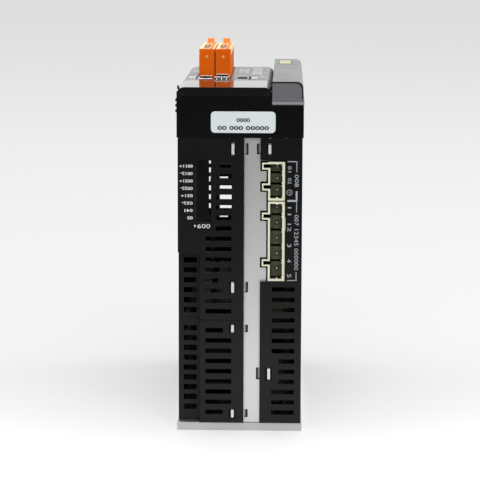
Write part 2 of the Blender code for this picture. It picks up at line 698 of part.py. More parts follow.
def make_upper_end_wall():
    """Folded sheet metal behind the shells at the upper end."""
    left_windows = LEFT_WINDOWS_FRONT + LEFT_WINDOWS_REAR
    tab_left = WINDOW_LEFT_X + TAB_LEFT_IN
    tab_right = WINDOW_RIGHT_X + TAB_RIGHT_IN
    x0 = LONG_SLOT_X1 + 0.6
    x1 = HEADER_X0 - HEADER_PLAY
    y0, y1 = METAL_NEAR, METAL_NEAR + SHEET_T
    foot = block(x0 + 0.5, RIGHT_EDGE, y0 + 0.1, y0 + 10.0, SHELL_BOTTOM + EASE, SHELL_BOTTOM + SHEET_T)
    adds = ears(left_windows, WINDOW_LEFT_X - 1.4, x0 + 1, y0, y1)
    adds += ears(RIGHT_WINDOWS, x1 - 1, WINDOW_RIGHT_X + WINDOW_W + 1.2, y0, y1)
    adds += tabs(left_windows, tab_left, y0) + tabs(RIGHT_WINDOWS, tab_right, y0)
    adds.append(foot)
    cuts = arm_cuts(y0 - 1, y1 + 1)
    cuts += latch_cuts(left_windows, tab_left, y0 - 0.5, y1 + 1)
    cuts += latch_cuts(RIGHT_WINDOWS, tab_right, y0 - 0.5, y1 + 1)
    cuts += [block(LEFT_EDGE + GAP, LEFT_EDGE + NOTCH_W + GAP, y0 - 1, y1 + 1, low + 0.5, high - 0.5)
             for low, high in left_windows]
    cuts += [block(RIGHT_EDGE - NOTCH_W, RIGHT_EDGE, y0 - 1, y1 + 1, low + GAP, high - GAP)
             for low, high in RIGHT_WINDOWS]
    solid("upper_end_wall", "sheet_steel", block(x0, x1, y0, y1, SHELL_BOTTOM, SHELL_TOP),
          add=adds, cut=cuts)


def make_lower_end_wall():
    """Folded sheet metal behind the shells at the lower end, above the fan."""
    x0 = LONG_SLOT_X1 + 0.6
    y0, y1 = METAL_FAR - SHEET_T, METAL_FAR
    low = SPLIT_Z + 0.5
    lip = block(x0 + 0.5, RIGHT_EDGE, y1 - 9.0, y1 - 0.1, low + EASE, low + SHEET_T)
    cuts = arm_cuts(y0 - 1, y1 + 1)
    cuts += [rod("Y", (SPLIT_Z + z, SCREW_X), SHANK_R + GAP, y0 - 1, y1 + 1, 16) for z in SCREW_Z]
    solid("lower_end_wall", "sheet_steel", block(x0, HEADER_X0 - HEADER_PLAY, y0, y1, low, SHELL_TOP),
          add=[lip], cut=cuts)


def make_ground_screws():
    """Pan-head earth screws with captive washers on the lower end wall."""
    seat = METAL_FAR + GAP
    slot, reach, depth = 0.3, 1.7, 1.3
    for i, rise in enumerate(SCREW_Z, start=1):
        x, z = SCREW_X, SPLIT_Z + rise
        washer = rod("Y", (z, x), WASHER_R, seat, seat + 0.8, 20)
        head = rod("Y", (z, x), SCREW_HEAD_R, seat + 0.5, seat + 2.8, 20)
        shank = rod("Y", (z, x), SHANK_R, METAL_FAR - 7.0, seat + 0.5, 12)
        cross = [block(x - reach, x + reach, seat + depth, FAR + 5, z - slot, z + slot),
                 block(x - slot, x + slot, seat + depth, FAR + 5, z - reach, z + reach)]
        solid(f"ground_screw_{i}", "bright_steel", head, add=[washer, shank], cut=cross, smooth=True)


# ---------------------------------------------------------------- connectors
def make_header(name, spec, end):
    """A power connector housing with its blades, at the upper (-1) or lower (+1) end."""
    top, length, arms, pins = spec
    low = top - length
    face = end * (FAR - HEADER_SUNK)
    back = face - end * HEADER_DEPTH
    floor = back + end * HEADER_FLOOR
    y0, y1 = sorted((face, back))
    hollow = sorted((face + end, floor))
    wall, thin = HEADER_WALL, HEADER_WALL * 0.7
    inner_x0, inner_x1 = HEADER_X0 + wall, HEADER_X1 - wall * 1.2
    arm_x0 = HEADER_X0 - HEADER_ARM
    cuts = [block(inner_x0, inner_x1, *hollow, low + wall, top - wall)]
    adds = []
    for z0, z1 in arm_spans(top, arms):
        adds.append(block(arm_x0, HEADER_X0 + 0.3, y0 + EASE, y1 - EASE, z0, z1))
        cuts.append(block(arm_x0 + thin, inner_x0 + 0.5, *hollow, z0 + thin, z1 - thin))
    housing = solid(name, "cream_plastic", block(HEADER_X0, HEADER_X1, y0, y1, low, top),
                    add=adds, cut=cuts)
    centre = (inner_x0 + inner_x1) / 2 + 0.4
    tips = sorted((face - end * BLADE_SUNK, floor - end))
    half = BLADE / 2
    blades = [block(centre - half, centre + half, *tips, top - offset - half, top - offset + half)
              for offset in pins]
    boolean(housing, "UNION", helper(f"{name}-blades", joined(blades)), False)


def make_connectors():
    """Mains, DC link, motor and encoder connectors, and the option connector's blank."""
    make_header("dc_header", HEADER_SPECS["dc_header"], -1)
    make_header("mains_header", HEADER_SPECS["mains_header"], -1)
    make_header("motor_header", HEADER_SPECS["mains_header"], 1)
    inset, shield = 0.6, SOCKET_SHIELD
    z0, z1 = DC_TOP - DC_LENGTH + inset, DC_TOP - inset
    face = FAR - HEADER_SUNK
    solid("encoder_socket", "bright_steel",
          block(HEADER_X0, HEADER_X1, face - SOCKET_DEPTH, face, z0, z1),
          cut=[block(HEADER_X0 + shield, HEADER_X1 - shield, face - SOCKET_MOUTH, FAR + 1,
                     z0 + shield, z1 - shield)])
    bridge_y = (NEAR + GAP, NEAR + SHELL_T)
    solid("option_blank", "black_plastic",
          block(BLANK_X0 + BLANK_PLAY, BLANK_X1 - BLANK_PLAY, NEAR + 0.1, NEAR + 0.1 + SHELL_T,
                BLANK_Z0 + 0.5, BLANK_Z1 - 0.5),
          add=[block(BLANK_X0 + 0.15, BLANK_X0 + BLANK_PLAY + 1, *bridge_y,
                     BLANK_Z1 - 2.2, BLANK_Z1 - 0.8),
               block(BLANK_X1 - BLANK_PLAY - 1.5, BLANK_X1 - 0.15, *bridge_y,
                     BLANK_Z0 + 0.8, BLANK_Z0 + 2.2)])


# ---------------------------------------------------------------- front
DECK_CUT = (DECK_Z - DECK_T - 1, DECK_Z + 1)        # cutters through the bezel's deck


def panel_profile():
    """Cross-section (X, Z) shared by the flip cover and the front panel."""
    return rounded([(BEZEL_LEFT, SKIRT_Z, 0), (PANEL_X1, SKIRT_Z, 0),
                    (PANEL_X1, PANEL_Z, CORNER_R), (BEZEL_LEFT, PANEL_Z, CORNER_R)])


def make_bezel():
    """Front bezel: a deck with walls that the panel and the flip cover stand on."""
    t = DECK_T
    rim = SKIRT_Z - 0.5
    over = PANEL_Z + 1
    cuts = [
        block(BEZEL_LEFT + t, BEZEL_RIGHT - t, BEZEL_NEAR + t, BEZEL_FAR - t, SEAM_Z - 1, DECK_Z - t),
        block(PANEL_X1, BEZEL_RIGHT + 1, BEZEL_NEAR - 1, BEZEL_FAR + 1, DECK_Z, over),
        block(BEZEL_LEFT - 1, PANEL_X1 + 1, PANEL_Y1, BEZEL_FAR + 1, DECK_Z, over),
        block(BEZEL_LEFT + t, PANEL_X1 - t, BEZEL_NEAR + t, PANEL_Y0 - 0.2, DECK_Z, over),
        block(BEZEL_LEFT + t, PANEL_X1 - t, PANEL_Y0 + t, PANEL_Y1 - t, DECK_Z, over),
        block(CUT_X0, CUT_X1, CUT_Y0 + 1, CUT_Y1, *DECK_CUT),
        block(PORT_X0 - GAP, PORT_X1 + GAP, PORT_Y0 - GAP, PORT_Y1 + GAP, *DECK_CUT),
    ]
    cuts += [rod("Z", (x, BEZEL_NEAR + KEY_Y), KEY_R + RUNNING, *DECK_CUT, 16) for x in key_places()]
    cuts += [rod("Z", (PANEL_X1 - DIAL_X, BEZEL_NEAR + y), STEM_R + RUNNING, *DECK_CUT, 12)
             for y in DIAL_Y]
    cuts.append(rod("Z", (BEZEL_LEFT + LAMP_PLACE[0], PANEL_Y1 + LAMP_PLACE[1]), LAMP_R + GAP,
                    *DECK_CUT, 16))
    bezel = solid("front_bezel", "black_plastic",
                  block(BEZEL_LEFT, BEZEL_RIGHT, BEZEL_NEAR, BEZEL_FAR, SEAM_Z, rim), cut=cuts)
    for i, extra in enumerate(hinge_ears(rim) + grip_ridges(rim)):
        boolean(bezel, "UNION", helper(f"front_bezel-extra{i}", extra), False)


def hinge_ears(rim):
    """Ears with stub pins for the flip cover, at both sides of the upper end."""
    pin = (0.2, 3.0)
    extras = []
    for x0, x1, pin0, pin1 in (
            (BEZEL_LEFT, BEZEL_LEFT + EAR_W, BEZEL_LEFT + pin[0], BEZEL_LEFT + pin[1]),
            (PANEL_X1 - EAR_W, PANEL_X1, PANEL_X1 - pin[1], PANEL_X1 - pin[0])):
        extras.append(block(x0, x1, BEZEL_NEAR, BEZEL_NEAR + EAR_L, rim - 1, HINGE_Z + 1.2))
        extras.append(rod("X", (HINGE_Y, HINGE_Z), HINGE_R, pin0, pin1, 12))
    return extras


def grip_ridges(rim):
    """Small ridges low on the bezel's left face, by the cover's opening edge."""
    ridge, pitch, length = 1.2, 2.6, 6.4
    extras = []
    for i in range(GRIP_RIDGES):
        top = rim - 1.0 - i * pitch
        extras.append(block(BEZEL_LEFT - ridge / 2, BEZEL_LEFT + 0.5, BEZEL_NEAR + 0.6,
                            BEZEL_NEAR + 0.6 + length, top - ridge, top))
    return extras


def make_flip_cover():
    """Glossy cover over the display and keys, hinged on two stub pins at its upper end."""
    wall = 1.6
    corner = 3.4
    ceiling = PANEL_Z - DECK_T
    hinge_room = 4.5
    y1 = PANEL_Y0 - GAP / 2
    notch = EAR_W + GAP
    notch_y1 = BEZEL_NEAR + EAR_L + 0.5
    under, over = SKIRT_Z - 1, PANEL_Z + 1
    pin_r = HINGE_R + HINGE_PLAY
    cuts = [
        block(BEZEL_LEFT + wall, PANEL_X1 - wall, BEZEL_NEAR + hinge_room - 0.7, y1 + 1, under, ceiling),
        block(BEZEL_LEFT + corner, PANEL_X1 - corner, BEZEL_NEAR + wall, BEZEL_NEAR + hinge_room,
              under, ceiling),
        block(BEZEL_LEFT - 1, BEZEL_LEFT + notch, BEZEL_NEAR - 1, notch_y1, under, over),
        block(PANEL_X1 - notch, PANEL_X1 + 1, BEZEL_NEAR - 1, notch_y1, under, over),
        rod("X", (HINGE_Y, HINGE_Z), pin_r, BEZEL_LEFT - 1, BEZEL_LEFT + corner + 1, 12),
        rod("X", (HINGE_Y, HINGE_Z), pin_r, PANEL_X1 - corner - 1, PANEL_X1 + 1, 12),
    ]
    solid("flip_cover", "gloss_black", slab_xz(panel_profile(), BEZEL_NEAR, y1), cut=cuts)


def make_front_panel():
    """Fixed front panel with the cut-out for jacks and plugs."""
    wall = DECK_T
    y0 = PANEL_Y0 + GAP / 2
    slit_x, slit_half = PANEL_X1 - SLIT_X, 0.4
    level = (PANEL_Z - 4, PANEL_Z + 1)
    cuts = [
        block(BEZEL_LEFT + wall, PANEL_X1 - wall, y0 + wall, PANEL_Y1 - wall, SKIRT_Z - 1, PANEL_Z - 2),
        block(CUT_X0, CUT_X1, CUT_Y0, CUT_Y1, *level),
        block(PORT_X0 + PORT_WALL, PORT_X1 - PORT_WALL, PORT_Y0 + PORT_WALL, PORT_Y1 - PORT_WALL, *level),
        block(slit_x - slit_half, slit_x + slit_half, PANEL_Y0 + SLIT_Y[0], PANEL_Y0 + SLIT_Y[1], *level),
    ]
    solid("front_panel", "overlay_grey", slab_xz(panel_profile(), y0, PANEL_Y1), cut=cuts)


def side_profile(inset):
    """Cross-section (X, Z) of the side cover, drawn in at its top and right by inset."""
    return rounded([(SIDE_X0, DECK_Z + GAP, 0), (SIDE_X1 - inset, DECK_Z + GAP, 0),
                    (SIDE_X1 - inset, STRIP_Z - inset, SIDE_CORNER_R), (SIDE_X0, STRIP_Z - inset, 0)])


def side_flange(y0, y1):
    """The ledge round the foot of the side cover and its cap."""
    proud = (0.15, 0.2)
    foot = DECK_Z + GAP
    return block(SIDE_X0 - proud[0], BEZEL_RIGHT + proud[1], y0, y1, foot + EASE, foot + FLANGE_H)


def make_side_cover():
    """Raised side cover with its gasket, end cap and status window."""
    wall = 1.5
    x0, x1 = BEZEL_RIGHT - STATUS_X[0], BEZEL_RIGHT - STATUS_X[1]
    y0, y1 = PANEL_Y1 + STATUS_Y[0], PANEL_Y1 + STATUS_Y[1]
    cuts = [
        block(SIDE_X0 + wall, SIDE_X1 - wall, SIDE_NEAR + wall, BEZEL_FAR - wall, DECK_Z - 1, STRIP_Z - wall),
        block(x0 - GAP, x1 + GAP, y0 - GAP, y1 + GAP, STRIP_Z - 4, STRIP_Z + 1),
    ]
    solid("side_cover", "grey_plastic", slab_xz(side_profile(0), SIDE_NEAR, BEZEL_FAR),
          add=[side_flange(SIDE_NEAR + EASE, BEZEL_FAR + 0.2)], cut=cuts)
    gasket_y = BEZEL_NEAR + CAP_T + GAP
    solid("side_cover_gasket", "component_black", slab_xz(side_profile(0), gasket_y, gasket_y + GASKET_T))
    solid("side_cover_cap", "grey_plastic",
          slab_xz(side_profile(CAP_INSET), BEZEL_NEAR, BEZEL_NEAR + CAP_T),
          add=[side_flange(BEZEL_NEAR - GAP, BEZEL_NEAR + CAP_T - 0.1)])
    solid("status_window", "warm_lens", block(x0, x1, y0, y1, STRIP_Z - wall, STRIP_Z + 0.2))


def make_label():
    """Rating label on the bezel's upper end."""
    x0, x1 = LABEL_X - LABEL_W / 2, LABEL_X + LABEL_W / 2
    z0 = SEAM_Z + LABEL_LIFT
    z1 = z0 + LABEL_H
    outline = rounded([(x, z, LABEL_CORNER) for x, z in ((x0, z0), (x1, z0), (x1, z1), (x0, z1))])
    face = BEZEL_NEAR - LABEL_PROUD
    solid("rating_label", "white_label", slab_xz(outline, face - 0.3, face))


def make_control_header():
    """The board header that both plugs stand on, with a tongue for each."""
    half = PLUG_W / 2
    tongues = [block(x - TONGUE, x + TONGUE, PLUG_NEAR + ENTRY_MARGIN, PLUG_FAR - ENTRY_MARGIN,
                     PLUG_BOTTOM - 1, PLUG_BOTTOM + 6) for x in PLUG_XS]
    solid("control_header", "component_black",
          block(PLUG_XS[0] - half, PLUG_XS[1] + half, PLUG_NEAR, PLUG_FAR, BOARD_SEAT, PLUG_BOTTOM - GAP),
          add=tongues)


def make_plug(i, x):
    """A pull-off plug with its row of wire entries, and its release lever."""
    half = PLUG_W / 2
    pitch = (PLUG_L - 2 * ENTRY_MARGIN) / (PLUG_ENTRIES - 1)
    play = 0.4
    cuts = [block(x - TONGUE - play, x + TONGUE + play, PLUG_NEAR + 2.0, PLUG_FAR - 2.0,
                  PLUG_BOTTOM - 1, PLUG_BOTTOM + 6.6)]
    for k in range(PLUG_ENTRIES):
        y = PLUG_NEAR + ENTRY_MARGIN + k * pitch
        cuts.append(block(x - 1.9, x + 0.5, y - 1.2, y + 1.2, PLUG_TOP - 6.0, PLUG_TOP + 1))
    ear_x, ear_half = 2.55, 0.45
    lever_y0, lever_y1 = PLUG_FAR + GAP, PLUG_FAR + GAP + LEVER_T
    adds = [block(x + side * ear_x - ear_half, x + side * ear_x + ear_half, PLUG_FAR - 0.5, lever_y1,
                  LEVER_PIVOT_Z - 2.5, LEVER_PIVOT_Z + 1.8) for side in (-1, 1)]
    adds.append(rod("X", (LEVER_Y, LEVER_PIVOT_Z), LEVER_PIN_R, x - ear_x, x + ear_x, 12))
    solid(f"control_plug_{i}", "orange_plastic",
          block(x - half, x + half, PLUG_NEAR, PLUG_FAR, PLUG_BOTTOM, PLUG_TOP), add=adds, cut=cuts)
    lever = solid(f"plug_lever_{i}", "orange_plastic",
                  block(x - LEVER_W / 2, x + LEVER_W / 2, lever_y0, lever_y1,
                        LEVER_PIVOT_Z - 1.2, PLUG_TOP + LEVER_RISE),
                  cut=[rod("X", (LEVER_Y, LEVER_PIVOT_Z), LEVER_PIN_R + 0.2, x - half, x + half, 12),
                       block(x - half, x + half, LEVER_Y - 0.1, lever_y1 + 1,
                             LEVER_PIVOT_Z + 4, PLUG_TOP - 2)])
    moving(lever, (x, LEVER_Y, LEVER_PIVOT_Z))


def make_jacks():
    """Shielded network jacks and the service port."""
    half = JACK_W / 2
    shield = SOCKET_SHIELD
    for i, (x, rise) in enumerate(zip(PLUG_XS, JACK_RISES), start=1):
        top = PANEL_Z + rise
        solid(f"network_jack_{i}", "bright_steel",
              block(x - half, x + half, JACK_Y0, JACK_Y1, BOARD_SEAT, top),
              cut=[block(x - half + shield, x + half - shield, JACK_Y0 + shield, JACK_Y1 - shield,
                         top - JACK_MOUTH, top + 1)])
    port_top = PANEL_Z - 2 - GAP
    solid("service_port", "bright_steel",
          block(PORT_X0, PORT_X1, PORT_Y0, PORT_Y1, BOARD_SEAT, port_top),
          cut=[block(PORT_X0 + PORT_WALL, PORT_X1 - PORT_WALL, PORT_Y0 + PORT_WALL, PORT_Y1 - PORT_WALL,
                     DECK_Z - 3.0, PANEL_Z)])


def key_places():
    """X of each key."""
    return [BEZEL_LEFT + KEY_X + i * KEY_PITCH for i in range(KEY_COUNT)]


def make_controls():
    """Display, keys and address dials in the bay under the flip cover, and the charge lamp."""
    low = DECK_Z + GAP
    x0, y0 = BEZEL_LEFT + DISPLAY_PLACE[0], BEZEL_NEAR + DISPLAY_PLACE[1]
    width, length, height = DISPLAY_SIZE
    frame_x, frame_y = 1.5, 2.0
    solid("display_module", "component_black", block(x0, x0 + width, y0, y0 + length, low, low + height),
          cut=[block(x0 + frame_x, x0 + width - frame_x, y0 + frame_y, y0 + length - frame_y,
                     low + height - 0.5, low + height + 1)])
    key_y = BEZEL_NEAR + KEY_Y
    key_foot = BOARD_Z + BOARD_T + KEY_CLEARANCE
    for i, x in enumerate(key_places(), start=1):
        key = solid(f"key_{i}", "white_plastic",
                    rod("Z", (x, key_y), KEY_R, key_foot, DECK_Z + KEY_RISE, 16), smooth=True)
        moving(key, (x, key_y, key_foot))
    dial_x = PANEL_X1 - DIAL_X
    for i, y in enumerate((BEZEL_NEAR + y for y in DIAL_Y), start=1):
        dial = solid(f"address_dial_{i}", "white_plastic",
                     rod("Z", (dial_x, y), DIAL_R, low, low + DIAL_H, 24),
                     add=[rod("Z", (dial_x, y), STEM_R, DECK_Z - 4.0, low + 0.5, 12)],
                     cut=[block(dial_x - 3.0, dial_x + 3.0, y - 0.5, y + 0.5,
                                low + DIAL_H - 1, low + DIAL_H + 1)],
                     smooth=True)
        moving(dial, (dial_x, y, low))
    solid("charge_lamp", "red_lens",
          rod("Z", (BEZEL_LEFT + LAMP_PLACE[0], PANEL_Y1 + LAMP_PLACE[1]), LAMP_R,
              DECK_Z - 5.0, DECK_Z + LAMP_RISE, 16), smooth=True)


# ---------------------------------------------------------------- inside
def make_boards():
    """The three circuit boards and the posts under the bezel's deck."""
    y0, y1 = NEAR + BOARD_END, FAR - BOARD_END
    board_inset = 2.2
    solid("front_board", "circuit_board",
          block(LEFT + board_inset, RIGHT - board_inset, y0, y1, BOARD_Z, BOARD_Z + BOARD_T))
    solid("control_board", "circuit_board",
          block(CONTROL_BOARD_X, CONTROL_BOARD_X + BOARD_T, y0, y0 + CONTROL_BOARD_L,
                CONTROL_BOARD_Z, SEAM_Z - 2.4))
    solid("power_board", "circuit_board",
          block(POWER_BOARD_X, POWER_BOARD_X + BOARD_T, y0, y1, POWER_BOARD_Z, SEAM_Z - 4.4))
    reach_x, reach_y = BODY_W / 2 - POST_INSET[0], BODY_L / 2 - POST_INSET[1]
    places = [(sx * reach_x, sy * reach_y) for sx in (-1, 1) for sy in (-1, 1)]
    for i, place in enumerate(places, start=1):
        solid(f"board_post_{i}", "bright_steel",
              rod("Z", place, POST_R, BOARD_SEAT, DECK_Z - DECK_T - GAP, 6))


def on_power_board(size, y0, z0):
    """A box of (depth, length, height) standing on the power board."""
    depth, length, height = size
    return block(POWER_BOARD_FACE - depth, POWER_BOARD_FACE, y0, y0 + length, z0, z0 + height)


def make_power_parts():
    """Capacitors, semiconductor module and wound parts on the power board."""
    face = POWER_BOARD_FACE
    for i in range(3):
        place = (NEAR + CAPACITOR_Y + i * CAPACITOR_PITCH, SEAM_Z - CAPACITOR_DROP)
        solid(f"bus_capacitor_{i + 1}", "component_black",
              rod("X", place, CAPACITOR_R, face - CAPACITOR_H, face, 24), smooth=True)
    module_x = WEB_X1 + GAP
    solid("power_module", "component_black",
          block(module_x, module_x + MODULE_T, -MODULE_L / 2, MODULE_L / 2, *MODULE_Z))
    choke = (NEAR + CHOKE_PLACE[0], CHOKE_PLACE[1])
    solid("line_choke", "component_brown", rod("X", choke, CHOKE_R, face - CHOKE_H, face, 24),
          cut=[rod("X", choke, CHOKE_BORE, face - CHOKE_H - 5, face + 5, 16)], smooth=True)
    solid("inrush_relay", "component_black",
          on_power_board(RELAY_SIZE, NEAR + RELAY_PLACE[0], RELAY_PLACE[1]))
    solid("supply_transformer", "component_brown",
          on_power_board(TRANSFORMER_SIZE, FAR - TRANSFORMER_PLACE[0] - TRANSFORMER_SIZE[1],
                         TRANSFORMER_PLACE[1]))
    solid("film_capacitor", "component_brown", on_power_board(FILM_SIZE, NEAR + FILM_PLACE[0], FILM_PLACE[1]))


def sector(radius0, radius1, start, sweep, steps=6):
    """Outline (Z, X) of a piece of a ring round the fan's shaft, angles in degrees."""
    points = []
    for radius, order in ((radius0, range(steps + 1)), (radius1, reversed(range(steps + 1)))):
        for k in order:
            angle = math.radians(start + sweep * k / steps)
            points.append((FAN_Z + radius * math.sin(angle), FAN_X + radius * math.cos(angle)))
    return points


def make_fan():
    """Cooling fan: a square frame with a hub on struts, and its rotor."""
    half = FAN_SIZE / 2
    struts = 3
    strut_angle = 14.0
    opening = 360 / struts - strut_angle
    cuts = [rod("Y", (FAN_Z, FAN_X), FAN_BORE_R, FAN_Y0 + FAN_WEB, FAN_Y1 + 1, 32)]
    for k in range(struts):
        start = k * 360 / struts + strut_angle / 2
        cuts.append(prism(sector(FAN_HUB_R, FAN_BORE_R, start, opening, 10), "Y",
                          FAN_Y0 - 1, FAN_Y0 + FAN_WEB + 0.5))
    solid("fan_frame", "component_black",
          block(FAN_X - half, FAN_X + half, FAN_Y0, FAN_Y1, FAN_Z - half, FAN_Z + half), cut=cuts)
    blade_sweep = 16.0
    rotor_y0, rotor_y1 = FAN_Y0 + FAN_WEB + 0.5, FAN_Y1 - 1.0
    fins = [prism(sector(FAN_HUB_R - 1, FAN_BORE_R - FAN_TIP_PLAY, k * 360 / FAN_BLADES, blade_sweep, 3),
                  "Y", rotor_y0 + 1.5, rotor_y1 - 1.0) for k in range(FAN_BLADES)]
    rotor = solid("fan_rotor", "component_black",
                  rod("Y", (FAN_Z, FAN_X), FAN_HUB_R, rotor_y0, rotor_y1, 24), add=fins, smooth=True)
    moving(rotor, (FAN_X, (rotor_y0 + rotor_y1) / 2, FAN_Z))


def main():
    """Clears the scene, then makes every piece."""
    for piece in list(bpy.data.objects):
        bpy.data.objects.remove(piece, do_unlink=True)
    make_left_shells()
    make_right_shell()
    make_heat_sink()
    make_upper_end_wall()
    make_lower_end_wall()
    make_ground_screws()
    make_connectors()
    make_bezel()
    make_flip_cover()
    make_front_panel()
    make_side_cover()
    make_label()
    make_control_header()
    for i, x in enumerate(PLUG_XS, start=1):
        make_plug(i, x)
    make_jacks()
    make_controls()
    make_boards()
    make_power_parts()
    make_fan()


main()
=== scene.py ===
"""Looks of the servo drive: materials, printing, small parts, light and camera."""
import json
import math
import random

import bmesh
import bpy
from mathutils import Matrix, Vector


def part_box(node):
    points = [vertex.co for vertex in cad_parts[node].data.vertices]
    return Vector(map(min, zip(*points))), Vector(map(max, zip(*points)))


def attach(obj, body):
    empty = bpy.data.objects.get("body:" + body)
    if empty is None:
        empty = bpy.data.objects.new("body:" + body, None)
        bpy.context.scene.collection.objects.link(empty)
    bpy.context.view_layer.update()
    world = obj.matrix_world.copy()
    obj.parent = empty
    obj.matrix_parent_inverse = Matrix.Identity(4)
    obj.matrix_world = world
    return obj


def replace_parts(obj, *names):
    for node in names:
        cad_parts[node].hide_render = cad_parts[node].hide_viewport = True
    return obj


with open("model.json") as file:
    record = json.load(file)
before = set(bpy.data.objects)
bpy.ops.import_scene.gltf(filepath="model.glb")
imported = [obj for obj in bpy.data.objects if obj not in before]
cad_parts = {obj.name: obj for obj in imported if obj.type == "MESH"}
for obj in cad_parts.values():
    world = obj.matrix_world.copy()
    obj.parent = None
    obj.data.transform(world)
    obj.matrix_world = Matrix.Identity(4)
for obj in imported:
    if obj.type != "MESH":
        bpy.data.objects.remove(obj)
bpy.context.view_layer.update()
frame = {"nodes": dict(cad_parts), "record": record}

NODES = frame["nodes"]
RECORD = frame["record"]
SCENE = bpy.context.scene

MM = 0.001              # lights, the camera and finishes are in metres, and all pieces in millimetres
PRINT = 0.02            # thickness of the ink
PLATE_TOP = 4.05        # top of the heat sink's back plate, where the dark fins start


# ---------------------------------------------------------------- camera, floor and light
CAMERA_PLACE = (0.02271, -1.05804, 0.24553)
CAMERA_TURN = (1.3285, 8.7907, -0.1856)     # yaw, pitch and roll, in degrees
CAMERA_LENS = 153.1                         # for a 36 mm sensor
FLOOR_REACH = 30.0
SOFT_LIGHTS = (  # name, place, target, size, power
    ("right_softbox", (1.6, 0.3, 0.7), (0, 0, 0.15), (1.0, 0.8), 7.0),
    ("overhead", (-0.2, 0.1, 2.4), (0, 0, 0.05), (3.2, 3.2), 30.0),
    ("front_softbox", (0.2, -1.5, 1.3), (0, 0, 0.08), (1.8, 0.9), 20.0),
)


def make_camera():
    """Long lens a metre from the drive's upper end, a little above it and to its right."""
    data = bpy.data.cameras.new("camera")
    data.lens = CAMERA_LENS
    data.sensor_width = 36.0
    data.clip_end = 100.0
    camera = bpy.data.objects.new("camera", data)
    SCENE.collection.objects.link(camera)
    yaw, pitch, roll = (math.radians(angle) for angle in CAMERA_TURN)
    forward = Vector((-math.sin(yaw) * math.cos(pitch), math.cos(yaw) * math.cos(pitch), -math.sin(pitch)))
    right = Vector((math.cos(yaw), math.sin(yaw), 0.0))
    down = forward.cross(right)
    tilted_right = math.cos(roll) * right + math.sin(roll) * down
    tilted_down = math.cos(roll) * down - math.sin(roll) * right
    turn = Matrix((tilted_right, -tilted_down, -forward)).transposed()
    camera.matrix_world = Matrix.Translation(CAMERA_PLACE) @ turn.to_4x4()
    SCENE.camera = camera


def area_light(name, place, target, size, power):
    """A rectangular soft light aimed at a point."""
    data = bpy.data.lights.new(name, "AREA")
    data.shape = "RECTANGLE"
    data.size, data.size_y = size
    data.energy = power
    light = bpy.data.objects.new(name, data)
    SCENE.collection.objects.link(light)
    light.location = place
    light.rotation_euler = (Vector(target) - Vector(place)).to_track_quat("-Z", "Y").to_euler()


def make_surroundings():
    """Pale floor with painted light fall-off that dims it towards the camera, a bright sky dimmer on that
    side, and soft lights.
    """
    mesh = bpy.data.meshes.new("floor")
    outline = [(x * FLOOR_REACH, y * FLOOR_REACH, 0) for x, y in ((-1, -1), (1, -1), (1, 1), (-1, 1))]
    mesh.from_pydata(outline, [], [(0, 1, 2, 3)])
    floor = bpy.data.objects.new("floor", mesh)
    SCENE.collection.objects.link(floor)
    mesh.materials.append(floor_material())
    world = bpy.data.worlds.new("studio")
    SCENE.world = world
    world.use_nodes = True
    tree = world.node_tree
    background = tree.nodes["Background"]
    strength = ranged(tree, coordinate(tree, "Y", "Generated"), -0.95, 0.3, 0.15, 1.05)
    tree.links.new(strength, background.inputs["Strength"])
    background.inputs["Color"].default_value = (1.0, 1.0, 1.0, 1.0)
    for light in SOFT_LIGHTS:
        area_light(*light)


def coordinate(tree, axis, system="Object"):
    """One coordinate of the shaded point: with the default system, its place in metres."""
    coords = tree.nodes.new("ShaderNodeTexCoord")
    split = tree.nodes.new("ShaderNodeSeparateXYZ")
    tree.links.new(coords.outputs[system], split.inputs[0])
    return split.outputs[axis]


def ranged(tree, value, low, high, to_low, to_high):
    """A Map Range node; returns its result socket."""
    node = tree.nodes.new("ShaderNodeMapRange")
    node.interpolation_type = "SMOOTHSTEP"
    node.inputs["From Min"].default_value = low
    node.inputs["From Max"].default_value = high
    node.inputs["To Min"].default_value = to_low
    node.inputs["To Max"].default_value = to_high
    tree.links.new(value, node.inputs["Value"])
    return node.outputs[0]


def floor_material():
    """White paper with a painted glow that softens shadows, and painted light fall-off: dimmer towards the
    camera, and with less glow behind the drive.
    """
    material, shader = new_material("floor_paper", (0.80, 0.80, 0.80), 0.6)
    tree = material.node_tree
    away = coordinate(tree, "Y")
    # painted glow, fading out towards the camera
    far_glow = ranged(tree, away, -1.5, -0.3, 0.0, 0.51)
    # painted dimming: less glow from just before the drive's near end to behind it
    dimming = ranged(tree, away, -0.16, 0.06, 0.0, 0.17)
    glow = tree.nodes.new("ShaderNodeMath")
    glow.operation = "SUBTRACT"
    tree.links.new(far_glow, glow.inputs[0])
    tree.links.new(dimming, glow.inputs[1])
    # painted fall-off in the paper's colour, darker towards the camera
    shade = ranged(tree, away, -1.5, -0.15, 0.1, 0.40)
    merge = tree.nodes.new("ShaderNodeCombineColor")
    for channel in ("Red", "Green", "Blue"):
        tree.links.new(shade, merge.inputs[channel])
    tree.links.new(merge.outputs[0], shader.inputs["Base Color"])
    shader.inputs["Specular IOR Level"].default_value = 0.1
    shader.inputs["Emission Color"].default_value = (1.0, 1.0, 1.0, 1.0)
    tree.links.new(glow.outputs[0], shader.inputs["Emission Strength"])
    return material


# ---------------------------------------------------------------- materials
def new_material(name, colour, roughness, metallic=0.0):
    """A Principled material; returns it and its shader node."""
    material = bpy.data.materials.new(name)
    material.use_nodes = True
    shader = material.node_tree.nodes["Principled BSDF"]
    shader.inputs["Base Color"].default_value = (*colour, 1.0)
    shader.inputs["Roughness"].default_value = roughness
    shader.inputs["Metallic"].default_value = metallic
    return material, shader


